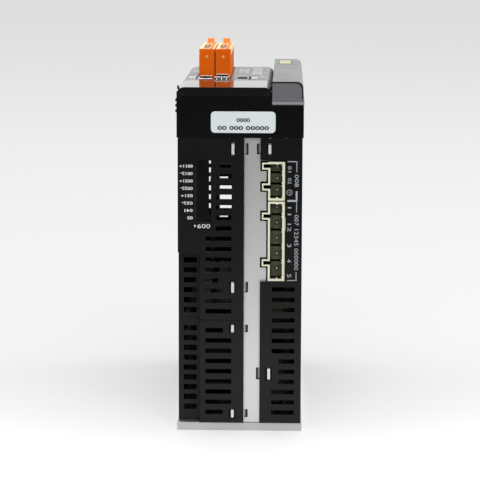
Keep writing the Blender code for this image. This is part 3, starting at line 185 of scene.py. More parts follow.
def noise(tree, scale, detail=3.0, stretch=(1.0, 1.0, 1.0)):
    """Noise over the piece's own coordinates, with its cell size about 1 / scale metres."""
    coords = tree.nodes.new("ShaderNodeTexCoord")
    mapping = tree.nodes.new("ShaderNodeMapping")
    mapping.inputs["Scale"].default_value = stretch
    texture = tree.nodes.new("ShaderNodeTexNoise")
    texture.inputs["Scale"].default_value = scale
    texture.inputs["Detail"].default_value = detail
    tree.links.new(coords.outputs["Object"], mapping.inputs[0])
    tree.links.new(mapping.outputs[0], texture.inputs["Vector"])
    return texture.outputs["Fac"]


def mixed(tree, factor, first, second):
    """Mixes two colours, each a tuple or a socket, by a factor socket."""
    node = tree.nodes.new("ShaderNodeMix")
    node.data_type = "RGBA"
    tree.links.new(factor, node.inputs["Factor"])
    for socket, colour in ((node.inputs["A"], first), (node.inputs["B"], second)):
        if isinstance(colour, tuple):
            socket.default_value = (*colour, 1.0)
        else:
            tree.links.new(colour, socket)
    return node.outputs["Result"]


def edge_mask(tree, radius):
    """White along convex and concave edges, within about a radius of them."""
    rounded = tree.nodes.new("ShaderNodeBevel")
    rounded.samples = 4
    rounded.inputs["Radius"].default_value = radius
    geometry = tree.nodes.new("ShaderNodeNewGeometry")
    dot = tree.nodes.new("ShaderNodeVectorMath")
    dot.operation = "DOT_PRODUCT"
    tree.links.new(rounded.outputs[0], dot.inputs[0])
    tree.links.new(geometry.outputs["Normal"], dot.inputs[1])
    return ranged(tree, dot.outputs["Value"], 0.995, 0.80, 0.0, 1.0)


def surface(name, colour, roughness, metallic=0.0, specular=0.5, mottle=0.15, mottle_scale=60.0,
            grain=6000.0, bump=0.1, rough_spread=0.06, wear=None, stretch=(1.0, 1.0, 1.0)):
    """A finish with mottled colour, fine grain in its bump and roughness, and optional worn edges."""
    material, shader = new_material(name, colour, roughness, metallic)
    tree = material.node_tree
    shader.inputs["Specular IOR Level"].default_value = specular
    darker = tuple(channel * (1.0 - mottle) for channel in colour)
    lighter = tuple(min(1.0, channel * (1.0 + mottle)) for channel in colour)
    tone = mixed(tree, noise(tree, mottle_scale, 4.0, stretch), darker, lighter)
    if wear:
        worn_colour, radius, amount = wear
        scratch = ranged(tree, noise(tree, 900.0, 4.0), 0.35, 0.65, 0.0, amount)
        mask = tree.nodes.new("ShaderNodeMath")
        mask.operation = "MULTIPLY"
        tree.links.new(edge_mask(tree, radius), mask.inputs[0])
        tree.links.new(scratch, mask.inputs[1])
        tone = mixed(tree, mask.outputs[0], tone, worn_colour)
    tree.links.new(tone, shader.inputs["Base Color"])
    smudge = ranged(tree, noise(tree, mottle_scale * 1.7, 5.0, stretch), 0.25, 0.75,
                    roughness - rough_spread, roughness + rough_spread)
    tree.links.new(smudge, shader.inputs["Roughness"])
    if bump:
        relief = tree.nodes.new("ShaderNodeBump")
        relief.inputs["Strength"].default_value = bump
        relief.inputs["Distance"].default_value = 0.0002
        tree.links.new(noise(tree, grain, 2.0, stretch), relief.inputs["Height"])
        tree.links.new(relief.outputs[0], shader.inputs["Normal"])
    return material, shader


def connector_nylon():
    """Cream nylon, with painted shade that turns it dark olive down inside the sockets at the two ends."""
    material, shader = surface("cream_plastic", (0.70, 0.70, 0.53), 0.42, mottle=0.05, bump=0.06)
    tree = material.node_tree
    distance = tree.nodes.new("ShaderNodeMath")
    distance.operation = "ABSOLUTE"
    tree.links.new(coordinate(tree, "Y"), distance.inputs[0])
    face = -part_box("mains_header")[0][1]
    # painted shade: share of dark olive, growing with depth behind the socket's face
    depth = ranged(tree, distance.outputs[0], face - 0.0003, face - 0.0025, 0.0, 1.0)
    old = shader.inputs["Base Color"].links[0].from_socket
    tree.links.new(mixed(tree, depth, old, (0.032, 0.032, 0.014)), shader.inputs["Base Color"])
    return material


def shell_plastic(dust):
    """Black moulding, painted lighter low down than at the top as a stand-in for light bounced up from the
    floor.
    """
    material, shader = surface("black_plastic", (0.0016, 0.0016, 0.0019), 0.36, specular=0.18,
                               mottle=0.25, bump=0.10, wear=(dust, 0.0004, 0.30))
    tree = material.node_tree
    # painted light: share of the lighter black, full low down and none at the top
    shade = ranged(tree, coordinate(tree, "Z"), 0.02, 0.115, 1.0, 0.0)
    base_black = shader.inputs["Base Color"].links[0].from_socket
    # lighter black painted on as the floor's bounced light
    floor_lit_black = mixed(tree, noise(tree, 500.0, 5.0), (0.0080, 0.0083, 0.0088), (0.0115, 0.0118, 0.0124))
    tree.links.new(mixed(tree, shade, base_black, floor_lit_black), shader.inputs["Base Color"])
    return material


def sink_metal(bare):
    """Mill-finish aluminium where the back plate is open to view, and dark, dull, non-metal fins inside."""
    material, shader = surface("aluminium", (0.60, 0.60, 0.585), 0.42, 1.0, mottle=0.10,
                               mottle_scale=25.0, grain=3000.0, bump=0.08, rough_spread=0.08,
                               wear=(bare, 0.0004, 0.6), stretch=(1.0, 0.1, 1.0))
    tree = material.node_tree
    height, start, end = coordinate(tree, "Z"), PLATE_TOP * MM, (PLATE_TOP + 0.2) * MM
    inside = ranged(tree, height, start, end, 0.0, 1.0)
    bright = shader.inputs["Base Color"].links[0].from_socket
    tree.links.new(mixed(tree, inside, bright, (0.018, 0.018, 0.019)), shader.inputs["Base Color"])
    metal = ranged(tree, height, start, end, 1.0, 0.0)
    tree.links.new(metal, shader.inputs["Metallic"])
    sheen = ranged(tree, height, start, end, 0.5, 0.02)
    tree.links.new(sheen, shader.inputs["Specular IOR Level"])
    return material


def lamp_orange():
    """Orange plastic that lets some light through, with a clear skin, and a painted sheen that pales it at
    grazing angles.
    """
    material, shader = surface("orange_plastic", (0.84, 0.135, 0.0), 0.42, specular=0.10, mottle=0.05,
                               bump=0.05, wear=((0.95, 0.38, 0.08), 0.0004, 0.5))
    tree = material.node_tree
    facing = tree.nodes.new("ShaderNodeLayerWeight")
    facing.inputs["Blend"].default_value = 0.5
    # painted sheen: pale orange mixed in where the surface is seen at grazing angles
    painted_sheen = ranged(tree, facing.outputs["Facing"], 0.45, 0.92, 0.0, 0.9)
    deep = shader.inputs["Base Color"].links[0].from_socket
    tree.links.new(mixed(tree, painted_sheen, deep, (1.0, 0.66, 0.30)), shader.inputs["Base Color"])
    shader.inputs["Coat Weight"].default_value = 0.18
    shader.inputs["Coat Roughness"].default_value = 0.2
    return material


def zinc_sheet(bare):
    """Zinc-coated sheet, painted brighter towards its foot as a stand-in for the floor's reflection."""
    material, shader = surface("sheet_steel", (0.52, 0.52, 0.515), 0.40, 1.0, mottle=0.05,
                               mottle_scale=35.0, grain=2500.0, bump=0.03, rough_spread=0.05,
                               wear=(bare, 0.0005, 0.7), stretch=(1.0, 1.0, 0.15))
    tree = material.node_tree
    # painted reflection of the floor: paler colour mixed in towards the foot
    foot = ranged(tree, coordinate(tree, "Z"), 0.03, 0.14, 0.62, 0.0)
    plain = shader.inputs["Base Color"].links[0].from_socket
    tree.links.new(mixed(tree, foot, plain, (0.83, 0.83, 0.82)), shader.inputs["Base Color"])
    return material


def finish(name, *look, **details):
    """A plain surface's name and material."""
    return name, surface(name, *look, **details)[0]


def make_materials():
    """Every finish on the drive, by its name."""
    dust = (0.10, 0.10, 0.10)
    bare = (0.85, 0.85, 0.84)
    return dict((
        ("black_plastic", shell_plastic(dust)),
        finish("bezel_plastic", (0.0012, 0.0012, 0.0015), 0.34, specular=0.12, mottle=0.25, bump=0.10,
               wear=(dust, 0.0004, 0.25)),
        finish("gloss_black", (0.0035, 0.0035, 0.004), 0.09, specular=0.5, bump=0.0, rough_spread=0.02,
               wear=(dust, 0.0003, 0.2)),
        finish("grey_plastic", (0.108, 0.111, 0.118), 0.38, specular=0.6, mottle=0.06, bump=0.08,
               wear=((0.3, 0.3, 0.31), 0.0003, 0.4)),
        finish("overlay_grey", (0.03, 0.031, 0.033), 0.28, specular=0.8, mottle=0.1, bump=0.05),
        ("orange_plastic", lamp_orange()),
        ("cream_plastic", connector_nylon()),
        ("sheet_steel", zinc_sheet(bare)),
        ("aluminium", sink_metal(bare)),
        finish("bright_steel", (0.70, 0.70, 0.68), 0.16, 1.0, mottle=0.04, bump=0.02, rough_spread=0.06),
        finish("circuit_board", (0.012, 0.026, 0.012), 0.45, specular=0.25, mottle=0.35,
               mottle_scale=400.0, bump=0.08),
        finish("component_black", (0.010, 0.010, 0.0105), 0.5, specular=0.3, mottle=0.2, bump=0.12),
        finish("component_brown", (0.05, 0.028, 0.014), 0.45, mottle=0.2, bump=0.1),
        finish("white_label", (0.65, 0.70, 0.715), 0.34, mottle=0.03, bump=0.02),
        finish("white_plastic", (0.70, 0.70, 0.69), 0.38, mottle=0.04, bump=0.04),
        finish("warm_lens", (0.44, 0.40, 0.20), 0.32, specular=0.3, mottle=0.05, bump=0.02),
        finish("red_lens", (0.45, 0.015, 0.01), 0.14, mottle=0.1, bump=0.0),
        finish("print_white", (0.72, 0.72, 0.71), 0.5, mottle=0.12, mottle_scale=3000.0, bump=0.0),
        finish("print_blue_grey", (0.36, 0.38, 0.43), 0.5, mottle=0.12, mottle_scale=3000.0, bump=0.0),
        finish("print_black", (0.02, 0.02, 0.02), 0.5, mottle=0.2, mottle_scale=3000.0, bump=0.0),
        finish("gold", (0.85, 0.58, 0.22), 0.22, 1.0, mottle=0.05, bump=0.0),
        finish("tin", (0.68, 0.68, 0.66), 0.30, 1.0, mottle=0.08, mottle_scale=900.0, bump=0.04),
        # dark olive for the blocks inside the sockets: painted shade
        finish("olive_painted_shade", (0.050, 0.050, 0.020), 0.42, mottle=0.08),
        finish("dusty_olive", (0.050, 0.047, 0.026), 0.6, specular=0.2, mottle=0.3),
        finish("blue_insulator", (0.012, 0.016, 0.045), 0.25, mottle=0.2),
        # the tabs' steel, brightened as a painted highlight
        finish("tab_steel_highlight", (0.80, 0.80, 0.79), 0.45, 1.0, mottle=0.08),
        finish("clear_orange", (0.98, 0.40, 0.10), 0.3, specular=0.5, mottle=0.06),
        # paler copy of the grey plastic for the fine step: painted highlight
        finish("step_highlight_grey", (0.15, 0.153, 0.16), 0.35, mottle=0.06),
        # dark orange for the strokes on the plugs' tops: painted shade
        finish("orange_painted_shade", (0.10, 0.018, 0.0), 0.5, mottle=0.2),
        finish("dull_pin", (0.10, 0.10, 0.085), 0.4, 0.5, mottle=0.2),
        finish("shaded_steel", (0.32, 0.32, 0.32), 0.45, 1.0, mottle=0.08),
        # paler copy of the grey plastic for the ledge: painted highlight
        finish("ledge_highlight_grey", (0.24, 0.245, 0.255), 0.35, mottle=0.06, bump=0.04),
        finish("pale_orange", (0.85, 0.42, 0.14), 0.4, mottle=0.05),
        finish("unlit_segment", (0.03, 0.012, 0.011), 0.25, mottle=0.1),
        finish("bare_aluminium", (0.62, 0.62, 0.61), 0.32, 1.0, mottle=0.06, bump=0.05),
        finish("core_paint", (0.045, 0.045, 0.02), 0.4, mottle=0.1),
        finish("ferrite", (0.022, 0.021, 0.021), 0.55, mottle=0.3, bump=0.2),
        finish("yellow_tape", (0.16, 0.12, 0.03), 0.40, mottle=0.08),
        finish("copper", (0.034, 0.016, 0.009), 0.4, 0.6, mottle=0.15, mottle_scale=700.0, bump=0.0),
    ))


# ---------------------------------------------------------------- mesh tools
class Piece:
    """Gathers plain forms, given in millimetres, into one mesh, with a material for each form."""

    def __init__(self, name, body, slot):
        self.name, self.body, self.slot = name, body, slot
        self.mesh = bmesh.new()
        self.materials = []

    def paint(self, faces, material):
        if material not in self.materials:
            self.materials.append(material)
        index = self.materials.index(material)
        for face in faces:
            face.material_index = index

    def loft(self, rings, material, closed=True):
        """Joins rings of points, and caps the first and last."""
        count = len(rings[0])
        verts = [[self.mesh.verts.new(Vector(point) * MM) for point in ring] for ring in rings]
        faces = []
        for near, far in zip(verts, verts[1:]):
            for index in range(count):
                after = (index + 1) % count
                faces.append(self.mesh.faces.new((near[index], near[after], far[after], far[index])))
        if closed:
            faces.append(self.mesh.faces.new(verts[0]))
            faces.append(self.mesh.faces.new(verts[-1]))
        self.paint(faces, material)
        return faces

    def box(self, low, high, material, chamfer=0.0):
        """A box between two corners, with chamfered edges."""
        low, high = Vector(low), Vector(high)
        cut = min(chamfer, 0.45 * min(high - low))
        if cut <= 0:
            rings = [[(low.x, low.y, z), (high.x, low.y, z), (high.x, high.y, z), (low.x, high.y, z)]
                     for z in (low.z, high.z)]
            return self.loft(rings, material)
        rings = []
        for z, inset in ((low.z, cut), (low.z + cut, 0), (high.z - cut, 0), (high.z, cut)):
            rings.append(self.octagon(low, high, z, inset, cut))
        return self.loft(rings, material)

    @staticmethod
    def octagon(low, high, z, inset, cut):
        x0, x1 = low.x + inset, high.x - inset
        y0, y1 = low.y + inset, high.y - inset
        nick = max(cut - inset, 0.02 * cut)
        return [(x0 + nick, y0, z), (x1 - nick, y0, z), (x1, y0 + nick, z), (x1, y1 - nick, z),
                (x1 - nick, y1, z), (x0 + nick, y1, z), (x0, y1 - nick, z), (x0, y0 + nick, z)]

    def lathe(self, profile, centre, axis, material, segments=24):
        """Turns (distance along axis, radius) pairs about an axis through the centre."""
        turn = Vector((0, 0, 1)).rotation_difference(Vector(axis)).to_matrix()
        rings = []
        for along, radius in profile:
            ring = []
            for index in range(segments):
                angle = 2 * math.pi * index / segments
                point = Vector((radius * math.cos(angle), radius * math.sin(angle), along))
                ring.append(Vector(centre) + turn @ point)
            rings.append(ring)
        return self.loft(rings, material)

    def tube(self, path, radius, material, segments=8, closed=False):
        """A round tube along a list of points."""
        points = [Vector(point) for point in path]
        rings = []
        side = None
        for index, point in enumerate(points):
            before = points[index - 1] if index or closed else point
            after = points[(index + 1) % len(points)] if index + 1 < len(points) or closed else point
            along = (after - before).normalized()
            side = along.orthogonal() if side is None else side - side.dot(along) * along
            side.normalize()
            up = along.cross(side)
            rings.append([point + radius * (math.cos(a) * side + math.sin(a) * up)
                          for a in (2 * math.pi * step / segments for step in range(segments))])
        if closed:
            rings.append(rings[0])
        return self.loft(rings, material, not closed)

    def word(self, text, centre, size, material, across=(1, 0, 0), up=(0, 1, 0), weight=0.0):
        """Raised characters fitted to a width and height about a centre."""
        curve = bpy.data.curves.new("word", "FONT")
        curve.body = text
        curve.resolution_u = 2
        curve.extrude = 0.5
        curve.offset = weight
        holder = bpy.data.objects.new("word", curve)
        mesh = bpy.data.meshes.new_from_object(holder)
        across, up = Vector(across).normalized(), Vector(up).normalized()
        points = [vertex.co.copy() for vertex in mesh.vertices]
        low = Vector((min(p.x for p in points), min(p.y for p in points)))
        high = Vector((max(p.x for p in points), max(p.y for p in points)))
        middle, span = (low + high) / 2, high - low
        outward = across.cross(up)
        made = []
        for point in points:
            place = Vector(centre) + across * ((point.x - middle.x) * size[0] / span.x)
            place += up * ((point.y - middle.y) * size[1] / span.y) + outward * (point.z * PRINT)
            made.append(self.mesh.verts.new(place * MM))
        faces = [self.mesh.faces.new([made[index] for index in polygon.vertices])
                 for polygon in mesh.polygons]
        self.paint(faces, material)
        bpy.data.objects.remove(holder)
        bpy.data.curves.remove(curve)
        bpy.data.meshes.remove(mesh)

    def done(self, smooth_angle=None):
        """Makes the object, and returns it riding on its body."""
        bmesh.ops.recalc_face_normals(self.mesh, faces=self.mesh.faces)
        data = bpy.data.meshes.new(self.name)
        self.mesh.to_mesh(data)
        self.mesh.free()
        for material in self.materials:
            data.materials.append(material)
        if smooth_angle:
            data.shade_smooth()
            data.set_sharp_from_angle(angle=math.radians(smooth_angle))
        obj = bpy.data.objects.new(self.name, data)
        SCENE.collection.objects.link(obj)
        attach(obj, self.body)
        return obj


# ---------------------------------------------------------------- the carried-over nodes
SOFT_EDGES = {
    "heat_sink": 0.3, "upper_end_wall": 0.12, "lower_end_wall": 0.12, "front_bezel": 0.35,
    "flip_cover": 0.35, "side_cover": 0.3, "left_shell_front": 0.2, "left_shell_rear": 0.2,
    "right_shell": 0.2, "control_plug_1": 0.2, "control_plug_2": 0.2, "plug_lever_1": 0.7,
    "plug_lever_2": 0.7, "mains_header": 0.15, "dc_header": 0.15, "motor_header": 0.15,
}
OTHER_EDGE = 0.1
OWN_FINISH = {"front_bezel": "bezel_plastic", "option_blank": "bezel_plastic",
              "plug_lever_1": "clear_orange", "plug_lever_2": "clear_orange"}


def dress_nodes(materials):
    """Gives each CAD node its slot's material and small rounded edges."""
    slots = {entry["node"]: entry["material_slot"] for entry in RECORD["subparts"]}
    for name, node in NODES.items():
        node.data.materials.clear()
        node.data.materials.append(materials[OWN_FINISH.get(name, slots[name])])
        weld = node.modifiers.new("weld", "WELD")
        weld.merge_threshold = 0.000005
        flat = node.modifiers.new("flat_faces", "DECIMATE")
        flat.decimate_type = "DISSOLVE"
        flat.angle_limit = math.radians(0.5)
        bevel = node.modifiers.new("rounded_edges", "BEVEL")
        bevel.width = SOFT_EDGES.get(name, OTHER_EDGE) * MM
        bevel.segments = 2
        bevel.limit_method = "ANGLE"
        bevel.angle_limit = math.radians(35)


# ---------------------------------------------------------------- places taken from the frame
def corners(node):
    """Lowest and highest corners of a node at rest, in millimetres."""
    low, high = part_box(node)
    return Vector(low) / MM, Vector(high) / MM


def moved_body(joint_name):
    """The body that a joint moves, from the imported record."""
    return next(joint["child"] for joint in RECORD["behaviour"]["joints"] if joint["name"] == joint_name)


def circle(centre, radius, count, up):
    """Evenly spaced points round a centre, in the plane of X and another direction."""
    angles = (2 * math.pi * step / count for step in range(count))
    return [Vector(centre) + radius * Vector((math.cos(a), math.sin(a) * up[1], math.sin(a) * up[2]))
            for a in angles]


# ---------------------------------------------------------------- printing
DECK = corners("key_1")[1].z - 3.2      # floor of the recess under the flip cover
ROW_TEXTS = ("0011+", "0012-", "0021+", "0022-", "031+", "032-", "041", "05")
ROW_WIDTHS = (6.4, 6.0, 6.4, 6.0, 5.7, 5.4, 4.0, 2.7)
ROW_PITCH = 3.586
LABEL_ROWS = (("00000 000 00", 2.4, 24.8, 2.1), ("0000", 6.2, 6.6, 2.0))  # text, rise, width, height
BRACKET_TICKS = ((10.8, 11.25), (29.6, 30.5), (68.75, 69.1))    # from the seam down
BRACKET_LINES = ((0.18, 10.8, 16.1), (0.42, 25.3, 29.8), (0.18, 30.4, 35.6), (0.18, 64.8, 69.1))
PIN_NAMES = (("01", 14.7, 2.9, 1.8), ("02", 20.4, 2.9, 1.8), ("11", 35.0, 3.9, 1.7), ("12", 43.1, 3.9, 1.7),
             ("3", 51.8, 1.7, 2.0), ("4", 59.3, 1.6, 2.0), ("5", 66.6, 1.6, 2.0))  # text, drop, width, height
CONNECTOR_NAMES = (("008", 20.3, 6.0, 2.0), ("007 12345 000000", 50.3, 27.0, 2.0))
EARTH_DROP = 26.0
DIGIT_TABLES = ((-3.4, 2.3, 12.0, 41.0, 9, 2), (4.2, 9.4, 2.5, 46.0, 12, 2), (-28.4, -24.6, 34.0, 50.0, 5, 1))
TABLE_GAPS = ((-3.6, -3.45), (2.9, 3.05), (9.9, 10.05))
TABLE_RULES = (2.0, 11.4, 46.6)
PANEL_NAMES = (("01", -26.0, 25.0, 3.4, 11.0), ("02", -25.8, -20.5, 3.2, 12.0), ("03", 5.8, -22.0, 2.6, 11.0),
               ("0", 9.7, -8.0, 1.3, 6.0))
UPSIDE_DOWN = {"across": (-1, 0, 0), "up": (0, 0, -1)}
DOWNWARDS = {"across": (0, 0, -1), "up": (1, 0, 0)}


def left_legend(ink):
    """Row numbers beside the option connector's blank, and the blank's own number."""
    low, high = corners("left_shell_front")
    piece = Piece("left_legend", "housing", "white_label")
    face, right_edge, first_row = low.y - PRINT, low.x + 7.3, high.z - 13.5
    for row, (text, width) in enumerate(zip(ROW_TEXTS, ROW_WIDTHS)):
        centre = (right_edge - width / 2, face, first_row - row * ROW_PITCH)
        piece.word(text, centre, (width, 1.5), ink, weight=0.02, **UPSIDE_DOWN)
    name_z = high.z - 42.6
    piece.word("009", (low.x + 12.6, face, name_z), (6.2, 2.1), ink, **UPSIDE_DOWN)
    tip = Vector((low.x + 8.3, face, name_z - 0.7))
    triangle = [tip, tip + Vector((0.55, 0, 1.2)), tip + Vector((-0.55, 0, 1.2))]
    piece.loft([triangle, [point + Vector((0, -PRINT, 0)) for point in triangle]], ink)
    piece.done()


def right_legend(ink):
    """Brackets, pin numbers and connector numbers beside the power connectors."""
    low, high = corners("right_shell")
    piece = Piece("right_legend", "housing", "white_label")
    face = low.y - PRINT
    pin_x, name_x = high.x - 6.1, high.x - 2.7
    tick_x0, tick_x1 = high.x - 7.1, high.x - 2.3

    def bar(x0, x1, drop0, drop1):
        piece.box((x0, face - PRINT, high.z - drop1), (x1, face, high.z - drop0), ink)

    for drop0, drop1 in BRACKET_TICKS:
        bar(tick_x0, tick_x1, drop0, drop1)
    for half, drop0, drop1 in BRACKET_LINES:
        bar(name_x - half, name_x + half, drop0, drop1)
    for column, names in ((pin_x, PIN_NAMES), (name_x, CONNECTOR_NAMES)):
        for text, drop, width, height in names:
            piece.word(text, (column, face, high.z - drop), (width, height), ink, **DOWNWARDS)
    earth_z = high.z - EARTH_DROP
    piece.tube(circle((pin_x, face, earth_z), 1.3, 20, (0, 0, 1)), 0.14, ink, 6, closed=True)
    for reach, rise in ((0.75, 0.35), (0.5, 0.0), (0.25, -0.35)):
        bar(pin_x + rise - 0.07, pin_x + rise + 0.07, EARTH_DROP - reach, EARTH_DROP + reach)
    piece.done()


def label_print(ink):
    """Two lines of plain digits on the rating label."""
    low, high = corners("rating_label")
    piece = Piece("label_print", "housing", "white_label")
    centre_x = (low.x + high.x) / 2
    face = low.y - 0.3 * PRINT
    for text, rise, width, height in LABEL_ROWS:
        piece.word(text, (centre_x, face, low.z + rise), (width, height), ink, weight=0.035, **UPSIDE_DOWN)
    piece.done()


def panel_print(light, ink):
    """Tables of small digits, terminal rows and connector numbers printed on the front panel."""
    face = corners("front_panel")[1].z
    top = face + PRINT
    piece = Piece("panel_print", "housing", "white_label")
    draw = random.Random(11)

    def table(x0, x1, y0, y1, rows, columns):
        step_x, step_y = (x1 - x0) / columns, (y1 - y0) / rows
        for row in range(rows):
            for column in range(columns):
                text = "".join(draw.choice("0123456789") for _ in range(2 + (row + column) % 2))
                place = (x0 + (column + 0.5) * step_x, y0 + (row + 0.5) * step_y, top)
                piece.word(text, place, (0.8 * step_x, 0.62 * step_y), light, weight=0.03)

    for spans in DIGIT_TABLES:
        table(*spans)
    for x0, x1 in TABLE_GAPS:
        piece.box((x0, 3.0, face), (x1, 46.0, top), ink)
    for y in TABLE_RULES:
        piece.box((3.0, y - 0.3, face), (9.9, y + 0.3, top), light)
    for text, x, y, width, height in PANEL_NAMES:
        piece.word(text, (x, y, top), (width, height), light, weight=0.03)
    piece.done()


# ---------------------------------------------------------------- power connectors
DC_DROPS = (2.9, 8.2, 13.8)             # from a connector's top down to each of its blades
MAINS_DROPS = (3.0, 10.4, 18.0, 25.6, 32.9)


def socket_details(node, drops, materials):
    """Ribbed blocks round the blades inside a power connector, plated tips, and nubs on its wall; the blocks
    are coloured dark olive as painted shade.
    """
    low, high = corners(node)
    end = -1 if low.y < 0 else 1
    face = low.y if end < 0 else high.y
    centre = high.x - 3.75
    left, right = high.x - 7.0, high.x - 1.2
    olive, cream = materials["olive_painted_shade"], materials["cream_plastic"]
    lands = Piece(f"{node}_lands", "housing", "cream_plastic")
    blades = Piece(f"{node}_blades", "housing", "bright_steel")

    def bar(piece, across, depths, up, material, chamfer):
        near, far = sorted(face - end * depth for depth in depths)
        piece.box((across[0], near, up[0]), (across[1], far, up[1]), material, chamfer)

    def around(value, half):
        return value - half, value + half

    tops = [high.z - 1.0] + [high.z - (a + b) / 2 for a, b in zip(drops, drops[1:])]
    foots = tops[1:] + [low.z + 1.0]
    for drop, top, foot in zip(drops, tops, foots):
        z = high.z - drop
        bar(lands, (left, right), (4.0, 10.9), (foot + 0.5, top - 0.5), olive, 0.35)
        for x in (left + 1.2, right - 1.2):
            bar(lands, around(x, 0.3), (3.6, 4.2), (foot + 0.8, top - 0.8), olive, 0.15)
        ring_y = min(face - end * 3.6, face - end * 4.2) + 0.3
        lands.tube(circle((centre, ring_y, z), 1.25, 24, (0, 0, 1)), 0.16, olive, 6, closed=True)
        bar(blades, around(centre, 0.83), (2.95, 9.9), around(z, 0.83), materials["dull_pin"], 0.35)
        bar(blades, around(centre, 0.3), (2.85, 3.2), around(z, 0.3), materials["tin"], 0.12)
        for nub in (top - 0.7, foot + 0.7):
            bar(lands, (right - 0.35, right + 0.1), (0.35, 9.0), around(nub, 0.35), cream, 0.12)
    for z in (low.z + 1.15, high.z - 1.15):
        bar(lands, around(centre, 0.5), (0.35, 9.0), around(z, 0.35), cream, 0.12)
    lands.done()
    blades.done()


def latch_spans():
    """Lowest and highest Z of each latch window, in the left shells and in the right shell."""
    shell_low, shell_high = corners("left_shell_front")
    seam, split, foot = shell_high.z, shell_low.z, corners("left_shell_rear")[0].z
    left = ((seam - 8.5, seam - 2.0), (split + 12.75, split + 18.95), (split - 6.85, split - 2.15),
            (foot + 1.9, foot + 6.9))
    right = ((seam - 8.1, seam - 2.35), (foot + 21.1, foot + 27.6))
    return left, right


def notch_ramps(materials):
    """Metal bent inwards in the notches beside each latch window."""
    piece = Piece("notch_ramps", "housing", "sheet_steel")
    left_edge, right_edge = corners("left_shell_front")[1].x, corners("right_shell")[0].x
    left_spans, right_spans = latch_spans()
    sheet_y = corners("upper_end_wall")[0].y + 1.1
    for spans, x0, toward in ((left_spans, left_edge + 0.3, 1), (right_spans, right_edge, -1)):
        for z0, z1 in spans:
            rings = []
            for step in range(6):
                share = step / 5
                x = x0 + toward * 1.5 * share
                y = sheet_y + 0.05 + 1.3 * share ** 2
                foot, top = z0 + 0.9, z1 - 0.55
                rings.append([(x, y, foot), (x, y + 0.25, foot), (x, y + 0.25, top), (x, y, top)])
            piece.loft(rings, materials["shaded_steel"])
            near, far = sorted((x0, x0 + toward * 1.8))
            piece.box((near, sheet_y + 1.7, z0), (far, sheet_y + 1.9, z1), materials["component_black"])
    piece.done(smooth_angle=50)


# ---------------------------------------------------------------- jacks and service port
JACK_WALL = 0.82        # shield and play between a jack's outside and its insulator
JACK_FLOOR = 11.8       # depth of its mouth
JACK_CONTACTS = 8
JACK_PITCH = 1.52


def jack_insert(index, black):
    """Walls and contact guides inside a network jack."""
    low, high = corners(f"network_jack_{index}")
    x0, x1, y0, y1 = low.x + JACK_WALL, high.x - JACK_WALL, low.y + JACK_WALL, high.y - JACK_WALL
    top, floor, skin = high.z - 0.3, high.z - JACK_FLOOR, 0.45
    piece = Piece(f"network_jack_{index}_insert", "housing", "component_black")
    piece.box((x0, y0, floor), (x0 + skin, y1, top), black, 0.1)
    piece.box((x1 - skin, y0, floor), (x1, y1, top), black, 0.1)
    piece.box((x0 + skin, y1 - 1.6, floor), (x1 - skin, y1, top), black, 0.1)
    piece.box((x0 + skin, y0, floor), (x1 - skin, y0 + 1.2, top - 1.0), black, 0.1)
    for step in range(JACK_CONTACTS + 1):
        y = y0 + 2.0 + step * JACK_PITCH
        piece.box((x0 + skin, y - 0.2, floor), (x0 + 2.1, y + 0.2, top - 2.0), black, 0.05)
    piece.done()


def jack_contacts(index, gold):
    """Eight sprung contacts of a network jack."""
    low, high = corners(f"network_jack_{index}")
    x0, x1, y0 = low.x + JACK_WALL, high.x - JACK_WALL, low.y + JACK_WALL
    top, floor = high.z - 0.3, high.z - JACK_FLOOR
    piece = Piece(f"network_jack_{index}_contacts", "housing", "bright_steel")
    for step in range(JACK_CONTACTS):
        y = y0 + 2.76 + step * JACK_PITCH
        path = [(x0 + 0.7, y, top - 1.2), (x0 + 1.0, y, top - 2.0),
                (x1 - 2.2, y, floor + 2.2), (x1 - 1.6, y, floor + 1.0)]
        piece.tube(path, 0.18, gold, 6)
    piece.done(smooth_angle=60)


def jack_trim(index, steel, lens):
    """Shield springs on a network jack's long sides, and its two light pipes."""
    low, high = corners(f"network_jack_{index}")
    piece = Piece(f"network_jack_{index}_trim", "housing", "bright_steel")
    for side, x in ((-1, low.x), (1, high.x)):
        for share in (0.3, 0.7):
            y = low.y + share * (high.y - low.y)
            rings = []
            for step in range(6):
                t = step / 5
                out = 0.35 * math.sin(math.pi * t)
                outer, inner = x + side * (out + 0.02), x + side * (out - 0.12)
                z = high.z - (0.9 + 4.2 * t)
                rings.append([(outer, y - 1.1, z), (outer, y + 1.1, z),
                              (inner, y + 1.1, z), (inner, y - 1.1, z)])
            piece.loft(rings, steel)
    for x in (low.x + 1.9, high.x - 1.9):
        piece.box((x - 0.75, low.y + 0.15, high.z - 0.6), (x + 0.75, low.y + 0.75, high.z + 0.12), lens, 0.12)
    piece.done(smooth_angle=50)


def port_details(materials):
    """Tongue and contacts of the service port."""
    low, high = corners("service_port")
    piece = Piece("service_port_insert", "housing", "component_black")
    centre = (low + high) / 2
    piece.box((centre.x - 0.5, low.y + 2.4, high.z - 8.6), (centre.x + 0.5, high.y - 2.4, high.z - 1.2),
              materials["component_black"], 0.2)
    for step in range(5):
        y = centre.y + (step - 2) * 1.4
        piece.box((centre.x + 0.45, y - 0.28, high.z - 8.0), (centre.x + 0.62, y + 0.28, high.z - 1.9),
                  materials["gold"], 0.06)
    piece.done()


# ---------------------------------------------------------------- terminal plugs
PLUG_ENTRIES = 12


